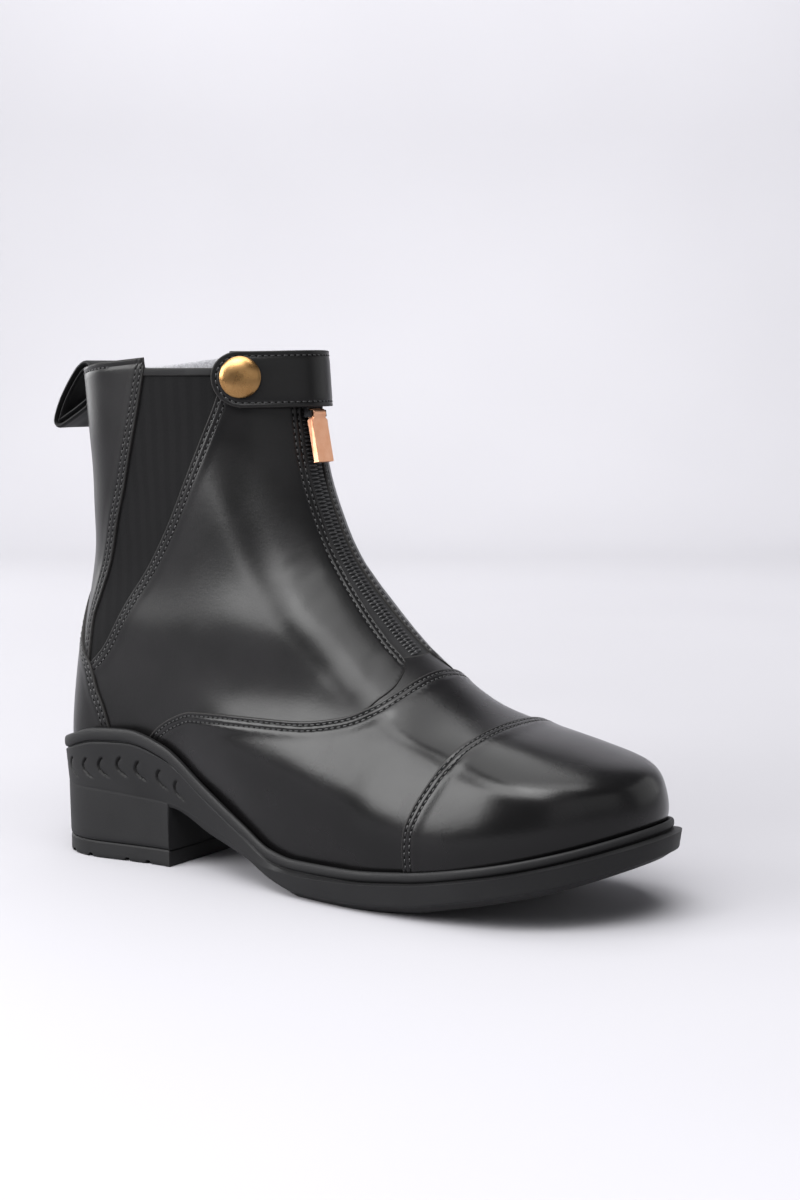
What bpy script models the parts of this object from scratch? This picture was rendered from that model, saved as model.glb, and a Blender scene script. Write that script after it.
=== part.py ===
"""Front-zip jodhpur boot for the right foot, as its maker puts it together.

The boot stands on the floor at z = 0, toe towards +X, outer side towards -Y. The origin is under the
middle of the heel. Sizes below are millimetres and are turned to metres where a mesh is made.
"""
import bmesh
import bpy
import numpy as np
from mathutils import Matrix, Vector

MM = 0.001
GAP = 0.3

# driving sizes of the last and the boot
HEEL_SEAT = 34.0          # height of the insole edge at the heel
TOE_SEAT = 29.0           # height of the insole edge at the toe tip
HEEL_HALF = 31.0          # half width of the heel
BALL_HALF = 42.7          # half width across the ball
BACK_TOP = 196.0          # height of the collar at the back
FRONT_TOP = 204.0         # height of the collar at the zip
TOE_SWING = 9.0           # how far the toe turns to the inner side
WAIST_SWING = 3.5         # how far the waist bends to the outer side

# wall and panel thicknesses, measured out from the lasted form
WALL = 1.8
QUARTER_TOP = 1.5
GORE_TOP = 0.8
PATCH_TOP = 1.0
ZIP_TOP = 1.2
VAMP_TOP = 2.1
COUNTER_TOP = 2.1
CAP_TOP = 2.8

# mesh fineness
COLUMNS = 44
SIDE_ROWS = 13
COUNTER_STEPS = 8
PANEL_START = 0.16        # how far up the first row of the side the panels start, clear of the bead

# One row for each section of the last, from the insole edge (level 0) to the collar (level 1):
# where the section meets the back and the front of the boot, its half widths at the heel, waist,
# ball and toe, and how long its rounded back and front ends are.
SECTION_COLUMNS = ("level", "back_x", "back_z", "front_x", "front_z",
                   "heel", "waist", "ball", "toe", "round_back", "round_front")
SECTIONS = np.array([
    (0.00, -28.5, HEEL_SEAT, 219.0, TOE_SEAT, 28.0, 28.0, 41.0, 39.0, 30, 44),
    (0.10, -30.5, 48.0, 223.0, 38.0, HEEL_HALF, 32.0, BALL_HALF, 40.0, 32, 45),
    (0.20, -31.0, 63.0, 220.0, 50.5, 31.5, 34.0, 39.8, 38.0, 32, 45),
    (0.30, -30.0, 80.0, 199.0, 58.0, 30.5, 34.5, 36.0, 33.0, 30, 45),
    (0.40, -26.3, 97.0, 164.0, 67.0, 29.0, 33.0, 33.0, 28.0, 28, 42),
    (0.50, -22.5, 113.0, 133.5, 85.0, 28.5, 31.5, 31.5, 27.0, 27, 40),
    (0.62, -19.8, 132.0, 108.5, 107.5, 29.0, 31.0, 31.0, 26.5, 27, 38),
    (0.75, -19.5, 152.0, 90.0, 134.0, 30.5, 31.5, 31.0, 26.0, 28, 37),
    (0.88, -21.0, 174.0, 79.0, 166.0, 32.5, 33.5, 31.0, 26.0, 31, 38),
    (1.00, -22.8, BACK_TOP, 75.0, FRONT_TOP, 34.5, 35.5, 33.0, 27.0, 34, 40),
])
WIDTHS_AT = (0.10, 0.38, 0.70, 0.92)     # places of the four half widths, as shares of a section
END_POWER = 2.6                          # 2 would make the ends ellipses
SAG_FADE = 0.65                          # level at which the bend of the insole edge has faded out
SAG_POWER = 1.3
SWING_FADE = 0.9
SWING_LEAST = 0.15                       # share of both turns that is left at the collar
TOE_TURN_FROM, TOE_TURN_RUN = 20.0, 200.0
WAIST_FROM, WAIST_RUN = 10.0, 150.0

# The insole edge dips below a straight line from heel to toe: share of the length, height.
INSOLE_DIP = np.array([
    (0.000, 0.0), (0.116, 0.9), (0.198, 0.5), (0.279, -5.1), (0.381, -15.1), (0.462, -20.2),
    (0.544, -21.5), (0.625, -20.1), (0.727, -16.6), (0.829, -11.4), (0.951, -3.2), (1.000, 0.0),
])

# The collar line: share of the section, height. Low over the gores, rising to the strap and the zip.
COLLAR_LINE = np.array([
    (0.00, BACK_TOP - 0.6), (0.35, 197.0), (0.55, 198.2), (0.78, 201.0), (0.90, 203.2), (1.00, FRONT_TOP - 0.4),
])

# One row for each station along the sole: heights of the bead, the step and the lower edge,
# how far each stands out from the last, and how far the tread lies below the lower edge.
SOLE_COLUMNS = ("x", "bead_top", "bead_low", "step", "foot",
                "bead_out", "groove_out", "step_out", "foot_out", "tread")
SOLE_STATIONS = np.array([
    (-40, 44.5, 40.0, 29.5, 24.4, 5.8, 4.4, 4.2, 3.8, 0.0),
    (-25, 46.8, 42.2, 29.5, 24.4, 5.8, 4.4, 4.2, 3.8, 0.0),
    (-4, 53.8, 48.8, 29.0, 24.4, 5.6, 4.2, 3.4, 2.8, 0.0),
    (12, 54.6, 49.6, 28.0, 24.4, 5.4, 4.0, 2.0, 1.2, 0.0),
    (31, 50.3, 45.3, 26.5, 24.4, 5.0, 3.6, 0.4, -0.4, 0.0),
    (53, 36.8, 32.0, 21.0, 17.0, 4.6, 3.8, 1.6, 0.6, 0.4),
    (75, 24.2, 20.0, 14.0, 10.9, 4.6, 4.2, 3.6, 2.2, 1.2),
    (88, 17.0, 13.0, 10.0, 5.2, 4.6, 4.4, 4.8, 3.4, 2.2),
    (100, 15.0, 11.0, 9.6, 2.8, 4.6, 4.4, 5.8, 4.4, 2.8),
    (124, 15.2, 11.2, 10.6, 2.8, 4.6, 4.4, 6.4, 5.0, 2.8),
    (150, 17.6, 13.8, 13.2, 5.0, 4.6, 4.4, 6.6, 5.2, 2.8),
    (176, 22.4, 18.8, 18.2, 10.6, 4.8, 4.6, 6.8, 5.4, 2.8),
    (205, 29.8, 26.4, 25.8, 18.2, 5.0, 4.8, 7.4, 6.2, 2.8),
    (228, 37.2, 34.0, 33.4, 27.0, 5.6, 5.4, 8.8, 8.0, 2.8),
])
FLAT_SPOT = (100.0, 124.0)   # the tread under the ball is flat between these
HEEL_BREAST = 30.0        # x of the front face of the heel
HEEL_BASE = 7.0           # height of the joint between heel block and top piece
TREAD_INSET = 4.5
BEAD_CROWN = 2.6          # how far the flat crown of the bead reaches out under the leather
BEAD_ROUND = 0.9
LIP_SHARE = 0.95          # how much of the bead's height the sole rises behind the panels
BREAST_RUN = 0.2          # half the run of the heel's front face
TOP_PIECE_ROUND = 0.9     # height of the edge round of the top piece
TOP_PIECE_SHRINK = 0.975
INSOLE_THICK = 3.0
INSOLE_INSET = 0.6

# grooves moulded across the top piece
TREAD_GROOVES = (-20.0, -9.0, 9.0, 19.0)
TREAD_GROOVE_WIDTH = 2.4
TREAD_GROOVE_DEPTH = 1.6

# seams as they are drawn on the side of the boot, x and z
VAMP_SEAM = np.array([(20.0, 50.0), (25.3, 55.3), (35.4, 61.4), (47.3, 65.3), (68.0, 66.1), (97.8, 66.4),
                      (115.6, 68.8), (128.0, 73.6), (134.6, 80.0), (137.2, 85.0), (138.5, 96.0)])
CAP_SEAM = np.array([(149.8, 5.0), (150.2, 18.4), (151.0, 31.4), (153.7, 40.5), (158.3, 50.0),
                     (164.0, 59.5), (168.0, 64.8), (171.0, 69.0), (175.0, 80.0)])
GORE_FRONT = np.array([(-8.6, 79.6), (-2.7, 85.0), (12.7, 107.7), (23.5, 121.5), (35.2, 139.2),
                       (43.2, 155.3), (50.1, 172.0), (54.6, 184.4), (58.0, 198.0), (61.0, 212.0)])
GORE_BACK = np.array([(-10.2, 80.6), (-8.6, 95.0), (-3.6, 107.8), (1.6, 120.5), (7.0, 138.3),
                      (13.5, 157.0), (21.0, 180.8), (27.0, 201.6)])
COUNTER_FRONT = np.array([(3.0, 38.0), (1.6, 52.0), (-1.0, 61.4), (-4.5, 68.7), (-8.6, 79.2)])
COUNTER_PEAK = np.array([(-9.6, 79.6), (-13.8, 83.6), (-17.8, 91.0), (-20.0, 103.0), (-21.4, 116.0),
                         (-23.4, 121.0)])
STRAP_TOP_EDGE = ((2.0, 199.4), (-14.0, 197.2), (-60.0, 196.2))
GORE_TOP_EDGE = 197.0
QUARTER_EDGE = FRONT_TOP - 0.4
THROAT = 129.4            # x where the quarters and the zip end above the vamp
ZIP_HALF = 5.3
ZIP_FOOT = 86.0
ZIP_HEAD = FRONT_TOP - 1

# how far a cutting outline runs past the boot, and where the zip's lane and the vamp stop short
BEYOND = 60.0
FAR_AHEAD, FAR_UP, FAR_DOWN = 300.0, 224.0, -10.0
LANE_BACK, LANE_AHEAD, LANE_FOOT = 40.0, THROAT + 5, 70.0
VAMP_HEAD = 110.0

# snap strap and its cap
STRAP_LOW = 182.0
STRAP_HIGH = 203.4
STRAP_REACH = 0.157       # how far round the boot it goes to each side of the zip
STRAP_THICK = 2.4
STRAP_SEAT = 1.9          # its inner face above the last at the sides
STRAP_LIFT = 3.4          # and how much more over the zip slider
STRAP_LIFT_SPAN = 0.12    # how far round to each side the lift fades out
STRAP_COLUMNS = 15
STRAP_TIPS = (0.0, 0.004, 0.012, 0.026)   # columns that round each end, in turns from the tip
STRAP_TIP_HALF = 2.0
STRAP_ROWS = (-1.0, -0.33, 0.33, 1.0)
SNAP_TURN = 0.379
SNAP_HEIGHT = 193.6
SNAP_RADIUS = 8.0
SNAP_DOME = 3.0
SNAP_POST = 4.0
SNAP_RIM = 1.4            # height of the rim where the dome starts
SNAP_LIP = 0.7            # how far the rim stands off the strap
SNAP_ANGLES = (20, 40, 58, 74, 88)
SNAP_STEPS = 16
STRAP_SETTLE = 0.15       # the strap's flat facets lie this much above its true curve

# zip slider and pull tab
HINGE_Z = 179.4
HINGE_OUT = 4.2
PIN_RADIUS = 0.8
BARREL_RADIUS = 2.0
BARREL_BORE = 1.1
PULL_WIDTH = 7.4
PULL_LENGTH = 20.5
PULL_THICK = 2.0
PULL_LEAN = 11.0          # degrees that the tab leans out while it rests on the zip
SLIDER_HEIGHT = 8.0
SLIDER_THICK = 1.8
SLIDER_LEAN = 7.0         # degrees that it leans back with the front of the shaft
SLIDER_LOW = 2.4          # its lower edge above the hinge
SLIDER_CLEAR = 0.5        # its back clear of the curved zip
LUG_THICK = 1.2
LUG_REACH = 1.3
LUG_FRONT = 1.0

# pull loop at the back
LOOP_WIDTH = 24.0
LOOP_THICK = 1.6
LOOP_PATH = ((0.0, 185.0), (0.0, 190.5), (0.0, 196.0), (-2.6, 199.4), (-6.6, 197.6), (-11.5, 191.0),
             (-16.5, 183.0), (-19.6, 175.6), (-19.0, 173.0), (-16.4, 173.2), (-10.5, 177.5), (-3.6, 182.0))
LOOP_BEND = 30.0
LOOP_STEPS = 3


def smooth(knots, values, at):
    """Monotone cubic through the knots, carried on straight past both ends."""
    step = np.diff(knots)
    rise = np.diff(values) / step
    slope = np.zeros(len(knots))
    same = rise[:-1] * rise[1:] > 0
    before, after = rise[:-1][same], rise[1:][same]
    left, right = step[:-1][same], step[1:][same]
    slope[1:-1][same] = 3 * (left + right) / ((2 * right + left) / before + (right + 2 * left) / after)
    slope[0], slope[-1] = rise[0], rise[-1]
    inside = np.clip(at, knots[0], knots[-1])
    past = at - inside
    i = np.clip(np.searchsorted(knots, inside, side="right") - 1, 0, len(knots) - 2)
    u = (inside - knots[i]) / step[i]
    curve = ((1 + 2 * u) * (1 - u) ** 2 * values[i] + u * (1 - u) ** 2 * step[i] * slope[i]
             + u * u * (3 - 2 * u) * values[i + 1] + u * u * (u - 1) * step[i] * slope[i + 1])
    return curve + past * np.where(past > 0, slope[-1], slope[0])


def section(name, level):
    """A column of the section table, read at any level."""
    return smooth(SECTIONS[:, 0], SECTIONS[:, SECTION_COLUMNS.index(name)], level)


def sole(name, x):
    """A column of the sole table, read at any station."""
    inside = np.clip(x, SOLE_STATIONS[0, 0], SOLE_STATIONS[-1, 0])
    return smooth(SOLE_STATIONS[:, 0], SOLE_STATIONS[:, SOLE_COLUMNS.index(name)], inside)


def half_width(share, level):
    """Half width of a section: a cubic through its four widths, closed by its two round ends."""
    names = ("heel", "waist", "ball", "toe")
    width = 0.0
    for i, name in enumerate(names):
        weight = 1.0
        for j, place in enumerate(WIDTHS_AT):
            if j != i:
                weight = weight * (share - place) / (WIDTHS_AT[i] - place)
        width = width + weight * section(name, level)
    length = section("front_x", level) - section("back_x", level)
    for end, run in (("round_back", share), ("round_front", 1 - share)):
        inside = np.clip(run * length / section(end, level), 0, 1)
        width = width * np.sqrt(1 - (1 - inside) ** END_POWER)
    return width


def last(turn, level):
    """Point of the lasted form. turn goes 0 at the back, 0.25 outer side, 0.5 front, 0.75 inner side."""
    turn, level = np.broadcast_arrays(np.asarray(turn, float), np.asarray(level, float))
    angle = 2 * np.pi * turn
    share = (1 - np.cos(angle)) / 2
    x = section("back_x", level) * (1 - share) + section("front_x", level) * share
    z = section("back_z", level) * (1 - share) + section("front_z", level) * share
    sag = np.clip(1 - level / SAG_FADE, 0, 1) ** SAG_POWER
    z = z + sag * smooth(INSOLE_DIP[:, 0], INSOLE_DIP[:, 1], share)
    y = -np.sign(np.sin(angle)) * half_width(share, level)
    toe_turn = TOE_SWING * np.maximum((x - TOE_TURN_FROM) / TOE_TURN_RUN, 0) ** 3
    waist_turn = WAIST_SWING * np.sin(np.pi * np.clip((x - WAIST_FROM) / WAIST_RUN, 0, 1)) ** 2
    y = y + np.clip(1 - level / SWING_FADE, SWING_LEAST, 1) * (toe_turn - waist_turn)
    return np.stack([x, y, z], -1)


def normal(turn, level):
    """Outward normal of the lasted form."""
    tiny = 1e-4
    along = last(turn + tiny, level) - last(turn - tiny, level)
    up = last(turn, level + tiny) - last(turn, level - tiny)
    n = np.cross(along, up)
    return n / np.linalg.norm(n, axis=-1, keepdims=True)


def raised(turn, level, height):
    """Point at a height above the lasted form."""
    return last(turn, level) + normal(turn, level) * height


def level_where(turn, line, low, high):
    """Level at which the form reaches the height that line(point) gives."""
    low, high = np.full_like(turn, low), np.full_like(turn, high)
    for _ in range(40):
        middle = (low + high) / 2
        point = last(turn, middle)
        above = point[..., 2] > line(turn, point)
        high = np.where(above, middle, high)
        low = np.where(above, low, middle)
    return (low + high) / 2


def bead_line(turn, point):
    return sole("bead_top", point[..., 0])


def collar_line(turn, point):
    return smooth(COLLAR_LINE[:, 0], COLLAR_LINE[:, 1], (1 - np.cos(2 * np.pi * turn)) / 2)


def flat_line(height):
    return lambda turn, point: np.full_like(turn, height)


TURNS = np.arange(COLUMNS) / COLUMNS
BEAD = level_where(TURNS, bead_line, 0.0, 0.4)
COLLAR = level_where(TURNS, collar_line, 0.8, 1.2)
ABOVE = level_where(TURNS, flat_line(FRONT_TOP + 3), 0.8, 1.3)
TRAY_LEVELS = np.stack([0 * BEAD, 0.5 * BEAD])
SIDE_LEVELS = BEAD + np.linspace(0, 1, SIDE_ROWS)[:, None] * (COLLAR - BEAD)


# scene and object helpers
def clear_scene():
    for thing in list(bpy.data.objects):
        bpy.data.objects.remove(thing, do_unlink=True)


def collection(name):
    made = bpy.data.collections.new(name)
    bpy.context.scene.collection.children.link(made)
    return made


def material(name, colour, roughness, metallic=0.0):
    made = bpy.data.materials.new(name)
    made.use_nodes = True
    shader = made.node_tree.nodes["Principled BSDF"]
    shader.inputs["Base Color"].default_value = (*colour, 1)
    shader.inputs["Roughness"].default_value = roughness
    shader.inputs["Metallic"].default_value = metallic
    return made


def add_object(name, bm, finish=None, cutter=False):
    """Put a bmesh, drawn in millimetres, into the scene as a metric object."""
    bmesh.ops.scale(bm, vec=(MM, MM, MM), verts=bm.verts)
    mesh = bpy.data.meshes.new(name)
    bm.to_mesh(mesh)
    bm.free()
    made = bpy.data.objects.new(name, mesh)
    (CUTTERS if cutter else PARTS).objects.link(made)
    if cutter:
        made.hide_render = True
        made.display_type = "WIRE"
    else:
        mesh.materials.append(finish)
        mesh.shade_smooth()
        mesh.set_sharp_from_angle(angle=np.radians(35))
    return made


def grid_mesh(points, wrap):
    """Triangles between the rows of a grid of points; wrap joins the last column to the first.

    Layers made from one grid have the same facets, so they stay apart by the same gap everywhere.
    """
    bm = bmesh.new()
    rows = [[bm.verts.new(p) for p in row] for row in points]
    count = len(rows[0])
    for low, high in zip(rows, rows[1:]):
        for i in range(count if wrap else count - 1):
            j = (i + 1) % count
            bm.faces.new((low[i], low[j], high[j]))
            bm.faces.new((low[i], high[j], high[i]))
    return bm


def thicken(made, thickness, offset):
    shell = made.modifiers.new("wall", "SOLIDIFY")
    shell.thickness = thickness * MM
    shell.offset = offset
    shell.use_even_offset = True


def cut(made, cutter, operation):
    step = made.modifiers.new(operation.lower(), "BOOLEAN")
    step.operation = operation
    step.solver = "EXACT"
    step.object = cutter


def prism(name, outline, y_from, y_to):
    """A side-view outline, x and z, carried across the boot."""
    bm = bmesh.new()
    face = bm.faces.new([bm.verts.new((x, y_from, z)) for x, z in outline])
    grown = bmesh.ops.extrude_face_region(bm, geom=[face])
    moved = [v for v in grown["geom"] if isinstance(v, bmesh.types.BMVert)]
    bmesh.ops.translate(bm, vec=(0, y_to - y_from, 0), verts=moved)
    bmesh.ops.recalc_face_normals(bm, faces=bm.faces)
    return add_object(name, bm, cutter=True)


def box(bm, low, high):
    """Add a box between two corners to a bmesh."""
    size = [b - a for a, b in zip(low, high)]
    middle = [(a + b) / 2 for a, b in zip(low, high)]
    bmesh.ops.create_cube(bm, size=1, matrix=Matrix.Translation(middle) @ Matrix.Diagonal((*size, 1)))


def rod_matrix(centre, axis):
    """Frame whose Z points along axis."""
    return Matrix.Translation(centre) @ Vector(axis).to_track_quat("Z", "Y").to_matrix().to_4x4()


def seam(points, shift, count=18):
    """A smooth line through a seam's points, moved sideways by shift (left of its direction)."""
    run = np.concatenate([[0], np.cumsum(np.hypot(*np.diff(points, axis=0).T))])
    at = np.linspace(0, run[-1], count)
    line = np.stack([smooth(run, points[:, 0], at), smooth(run, points[:, 1], at)], -1)
    ahead = np.gradient(line, axis=0)
    ahead /= np.linalg.norm(ahead, axis=1, keepdims=True)
    return line + shift * np.stack([-ahead[:, 1], ahead[:, 0]], -1)


def split(line, axis, limit):
    """Cut a seam line where its x (axis 0) or z (axis 1) passes a limit: the run before, the run after."""
    i = int(np.argmax(line[:, axis] > limit))
    share = (limit - line[i - 1, axis]) / (line[i, axis] - line[i - 1, axis])
    point = line[i - 1] * (1 - share) + line[i] * share
    return np.vstack([line[:i], point]), np.vstack([point, line[i:]])


def joined(*runs):
    return [tuple(p) for run in runs for p in run]


# the upper and its leather panels
def make_upper():
    levels = np.concatenate([TRAY_LEVELS, SIDE_LEVELS])
    upper = add_object("upper", grid_mesh(last(TURNS, levels), True), LINING)
    thicken(upper, WALL, -1)
    return upper


def panel(name, top, finish, outline, y_from=-BEYOND, y_to=BEYOND, without=None):
    """A panel of the upper: a layer that lies on the last, cut to its side-view outline."""
    layer = raised(TURNS, np.concatenate([SIDE_LEVELS, ABOVE[None]]), GAP)
    layer[0] += PANEL_START * (layer[1] - layer[0])
    made = add_object(name, grid_mesh(layer, True), finish)
    thicken(made, top - GAP, 1)
    cut(made, prism("cut_" + name, outline, y_from, y_to), "INTERSECT")
    if without:
        cut(made, without, "DIFFERENCE")
    return made


def make_panels():
    half = GAP / 2
    cap_edge = seam(CAP_SEAM, -half)
    cap = joined(cap_edge, [(cap_edge[-1][0], FAR_UP), (FAR_AHEAD, FAR_UP),
                            (FAR_AHEAD, FAR_DOWN), (cap_edge[0][0], FAR_DOWN)])
    panel("toe_cap", CAP_TOP, LEATHER, cap)

    vamp_edge = seam(VAMP_SEAM, -half)
    cap_side = seam(CAP_SEAM, half)[::-1]
    vamp = joined(vamp_edge, [(vamp_edge[-1][0], VAMP_HEAD), (cap_side[0][0], VAMP_HEAD)],
                  cap_side, [(cap_side[-1][0], FAR_DOWN), (vamp_edge[0][0], FAR_DOWN)])
    panel("vamp", VAMP_TOP, LEATHER, vamp)

    under_vamp = seam(VAMP_SEAM, half)
    lower = split(under_vamp, 0, THROAT)[0]
    behind = seam(COUNTER_FRONT, -half, COUNTER_STEPS)
    gore_side = split(seam(GORE_FRONT, -half), 1, QUARTER_EDGE)[0]
    quarter = joined([(lower[0][0], behind[0][1])], behind, gore_side, [(THROAT, QUARTER_EDGE)], lower[::-1])
    lane = [(LANE_BACK, LANE_FOOT), (LANE_AHEAD, LANE_FOOT), (LANE_AHEAD, FAR_UP), (LANE_BACK, FAR_UP)]
    zip_lane = prism("cut_zip_lane", lane, -ZIP_HALF - GAP, ZIP_HALF + GAP)
    panel("quarter_outer", QUARTER_TOP, LEATHER, quarter, -BEYOND, 0, zip_lane)
    panel("quarter_inner", QUARTER_TOP, LEATHER, quarter, 0, BEYOND, zip_lane)

    ahead = split(under_vamp, 0, THROAT + GAP)[1]
    panel("throat_patch", PATCH_TOP, LEATHER, joined(ahead, [(THROAT + GAP, ahead[-1][1])]))

    gore_front = split(seam(GORE_FRONT, half), 1, GORE_TOP_EDGE)[0]
    gore_back = split(seam(GORE_BACK, -half), 1, GORE_TOP_EDGE)[0]
    gore = joined(gore_front, gore_back[::-1])
    panel("gore_outer", GORE_TOP, ELASTIC, gore, -BEYOND, 0)
    panel("gore_inner", GORE_TOP, ELASTIC, gore, 0, BEYOND)

    over_peak = seam(COUNTER_PEAK, -half)
    strap = joined(seam(GORE_BACK, half), STRAP_TOP_EDGE, [(-BEYOND, over_peak[-1][1])], over_peak[::-1])
    panel("back_strap", QUARTER_TOP, LEATHER, strap)

    front, peak = seam(COUNTER_FRONT, half, COUNTER_STEPS), seam(COUNTER_PEAK, half)
    counter = joined(front, peak, [(-BEYOND, peak[-1][1]), (-BEYOND, FAR_DOWN), (front[0][0], FAR_DOWN)])
    panel("heel_counter", COUNTER_TOP, LEATHER, counter)

    chain = [(LANE_BACK, ZIP_FOOT), (THROAT - GAP, ZIP_FOOT), (THROAT - GAP, ZIP_HEAD), (LANE_BACK, ZIP_HEAD)]
    panel("zip_chain", ZIP_TOP, ZIP_BLACK, chain, -ZIP_HALF, ZIP_HALF)


# the sole
def plan_out(turn, level):
    """Outward direction of the last, level with the floor."""
    n = normal(turn, level) * (1, 1, 0)
    return n / np.linalg.norm(n, axis=-1, keepdims=True)


def ring(points, out, height):
    """A ring beside the bead line, moved out and set to a height."""
    moved = points + plan_out(TURNS, BEAD) * np.asarray(out)[..., None]
    moved[..., 2] = height
    return moved


def with_columns_at(rings, place, x, spread=0.0):
    """Add a column to every ring at x, or one just behind and one just ahead, on both sides of the boot."""
    columns, places = [], []
    count = len(place)
    for i in range(count):
        j = (i + 1) % count
        columns.append(rings[:, i])
        places.append(place[i])
        if (place[i] - x) * (place[j] - x) < 0:
            span = place[j] - place[i]
            side = spread * np.sign(span)
            for at in ((x - side, x + side) if spread else (x,)):
                share = (at - place[i]) / span
                columns.append(rings[:, i] * (1 - share) + rings[:, j] * share)
                places.append(at)
    return np.stack(columns, 1), np.array(places)


def cross_closed(rings):
    """A solid from rings, top to bottom, closed above and below by strips across the boot."""
    bm = grid_mesh(rings[::-1], True)
    bm.verts.ensure_lookup_table()
    count = rings.shape[1]
    for first, upward in ((0, False), (count * (len(rings) - 1), True)):
        for i in range(count // 2):
            strip = [first + k % count for k in (i, i + 1, count - i - 1, count - i)]
            corners = [bm.verts[k] for k in dict.fromkeys(strip)]
            bm.faces.new(corners if upward else corners[::-1])
    bmesh.ops.recalc_face_normals(bm, faces=bm.faces)
    return bm


def sole_rings():
    """Rings of the sole from the tray floor over the bead and down the side to the tread."""
    seat = raised(TURNS, 0 * BEAD, GAP)
    seat[:, 2] -= GAP
    middle = raised(TURNS, 0.5 * BEAD, GAP)
    lip = middle + LIP_SHARE * (raised(TURNS, BEAD, GAP) - middle)
    edge = last(TURNS, BEAD)
    x = edge[:, 0]
    crown = lip[:, 2]
    low, step, foot = sole("bead_low", x), sole("step", x), sole("foot", x)
    bead_out, foot_out = sole("bead_out", x), sole("foot_out", x)
    return np.stack([
        seat, middle, lip,
        ring(edge, np.full_like(x, BEAD_CROWN), crown),
        ring(edge, bead_out - BEAD_ROUND / 2, crown - BEAD_ROUND),
        ring(edge, bead_out, (crown + low) / 2),
        ring(edge, sole("groove_out", x), low),
        ring(edge, sole("step_out", x), step),
        ring(edge, foot_out, foot),
        ring(edge, foot_out - TREAD_INSET, foot - sole("tread", x)),
    ])


def make_sole():
    """The moulded unit, flat on the floor under the ball and stepped down to the heel."""
    rings, place = sole_rings(), last(TURNS, BEAD)[:, 0]
    for x in FLAT_SPOT:
        rings, place = with_columns_at(rings, place, x)
    rings, place = with_columns_at(rings, place, HEEL_BREAST, BREAST_RUN)
    heel = place < HEEL_BREAST
    rings[-2, :, 2] = np.where(heel, HEEL_BASE, sole("foot", place))
    rings[-1, :, 2] = np.where(heel, HEEL_BASE, sole("foot", place) - sole("tread", place))
    add_object("sole_unit", cross_closed(rings), RUBBER)
    return rings[-2][heel]


def make_top_piece(outline):
    """The top piece under the heel block: the block's lower outline, with a small edge round below."""
    count = len(outline)
    half = count // 2
    order = np.roll(np.arange(count), half - 1)
    rim = outline[order]
    centre = np.array([rim[:, 0].mean(), rim[:, 1].mean(), 0])
    rings = []
    edges = ((HEEL_BASE - GAP, 1.0), (TOP_PIECE_ROUND, 1.0), (0.0, TOP_PIECE_SHRINK))
    for height, grow in edges:
        ring_points = centre + (rim - centre) * grow
        ring_points[:, 2] = height
        rings.append(ring_points)
    bm = grid_mesh(rings[::-1], True)
    bm.verts.ensure_lookup_table()
    bm.faces.new([bm.verts[i] for i in range(count)][::-1])
    bm.faces.new([bm.verts[2 * count + i] for i in range(count)])
    bmesh.ops.recalc_face_normals(bm, faces=bm.faces)
    piece = add_object("heel_top_piece", bm, RUBBER)
    grooves = bmesh.new()
    half_groove = TREAD_GROOVE_WIDTH / 2
    for x in TREAD_GROOVES:
        box(grooves, (x - half_groove, -BEYOND, FAR_DOWN), (x + half_groove, BEYOND, TREAD_GROOVE_DEPTH))
    cut(piece, add_object("cut_tread", grooves, cutter=True), "DIFFERENCE")


def make_insole():
    rim = raised(TURNS, 0 * BEAD, -WALL - INSOLE_INSET)
    rim[:, 2] = last(TURNS, 0 * BEAD)[:, 2]
    add_object("insole", cross_closed(np.stack([rim + (0, 0, INSOLE_THICK), rim])), LINING)


# the strap, the zip's metal and the pull loop
def strap_seat(turn):
    """How far the strap's inner face lies above the last."""
    away = np.clip(np.abs(turn - 0.5) / STRAP_LIFT_SPAN, 0, 1)
    return STRAP_SEAT + STRAP_LIFT * np.cos(away * np.pi / 2) ** 2


def make_strap():
    """A band round the top of the front with round ends, lifted where it crosses the zip slider."""
    radius = (STRAP_HIGH - STRAP_LOW) / 2
    tip = STRAP_REACH - np.array(STRAP_TIPS)
    inner = 0.5 + np.linspace(-tip[-1], tip[-1], STRAP_COLUMNS)[1:-1]
    turns = np.concatenate([0.5 - tip, inner, (0.5 + tip)[::-1]])
    middle_height = (STRAP_HIGH + STRAP_LOW) / 2
    middle = level_where(turns, flat_line(middle_height), 0.8, 1.2)
    place = last(turns, middle)
    run = np.concatenate([[0], np.cumsum(np.linalg.norm(np.diff(place, axis=0), axis=1))])
    from_end = np.minimum(run, run[-1] - run)
    half = np.sqrt(radius ** 2 - np.maximum(radius - from_end, 0) ** 2)
    half = np.maximum(half, STRAP_TIP_HALF)
    lift = strap_seat(turns)
    rows = []
    for share in STRAP_ROWS:
        level = level_where(turns, lambda turn, point, s=share: middle_height + s * half, 0.8, 1.2)
        rows.append(raised(turns, level, lift[..., None]))
    strap = add_object("snap_strap", grid_mesh(rows, False), LEATHER)
    thicken(strap, STRAP_THICK, 1)


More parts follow.
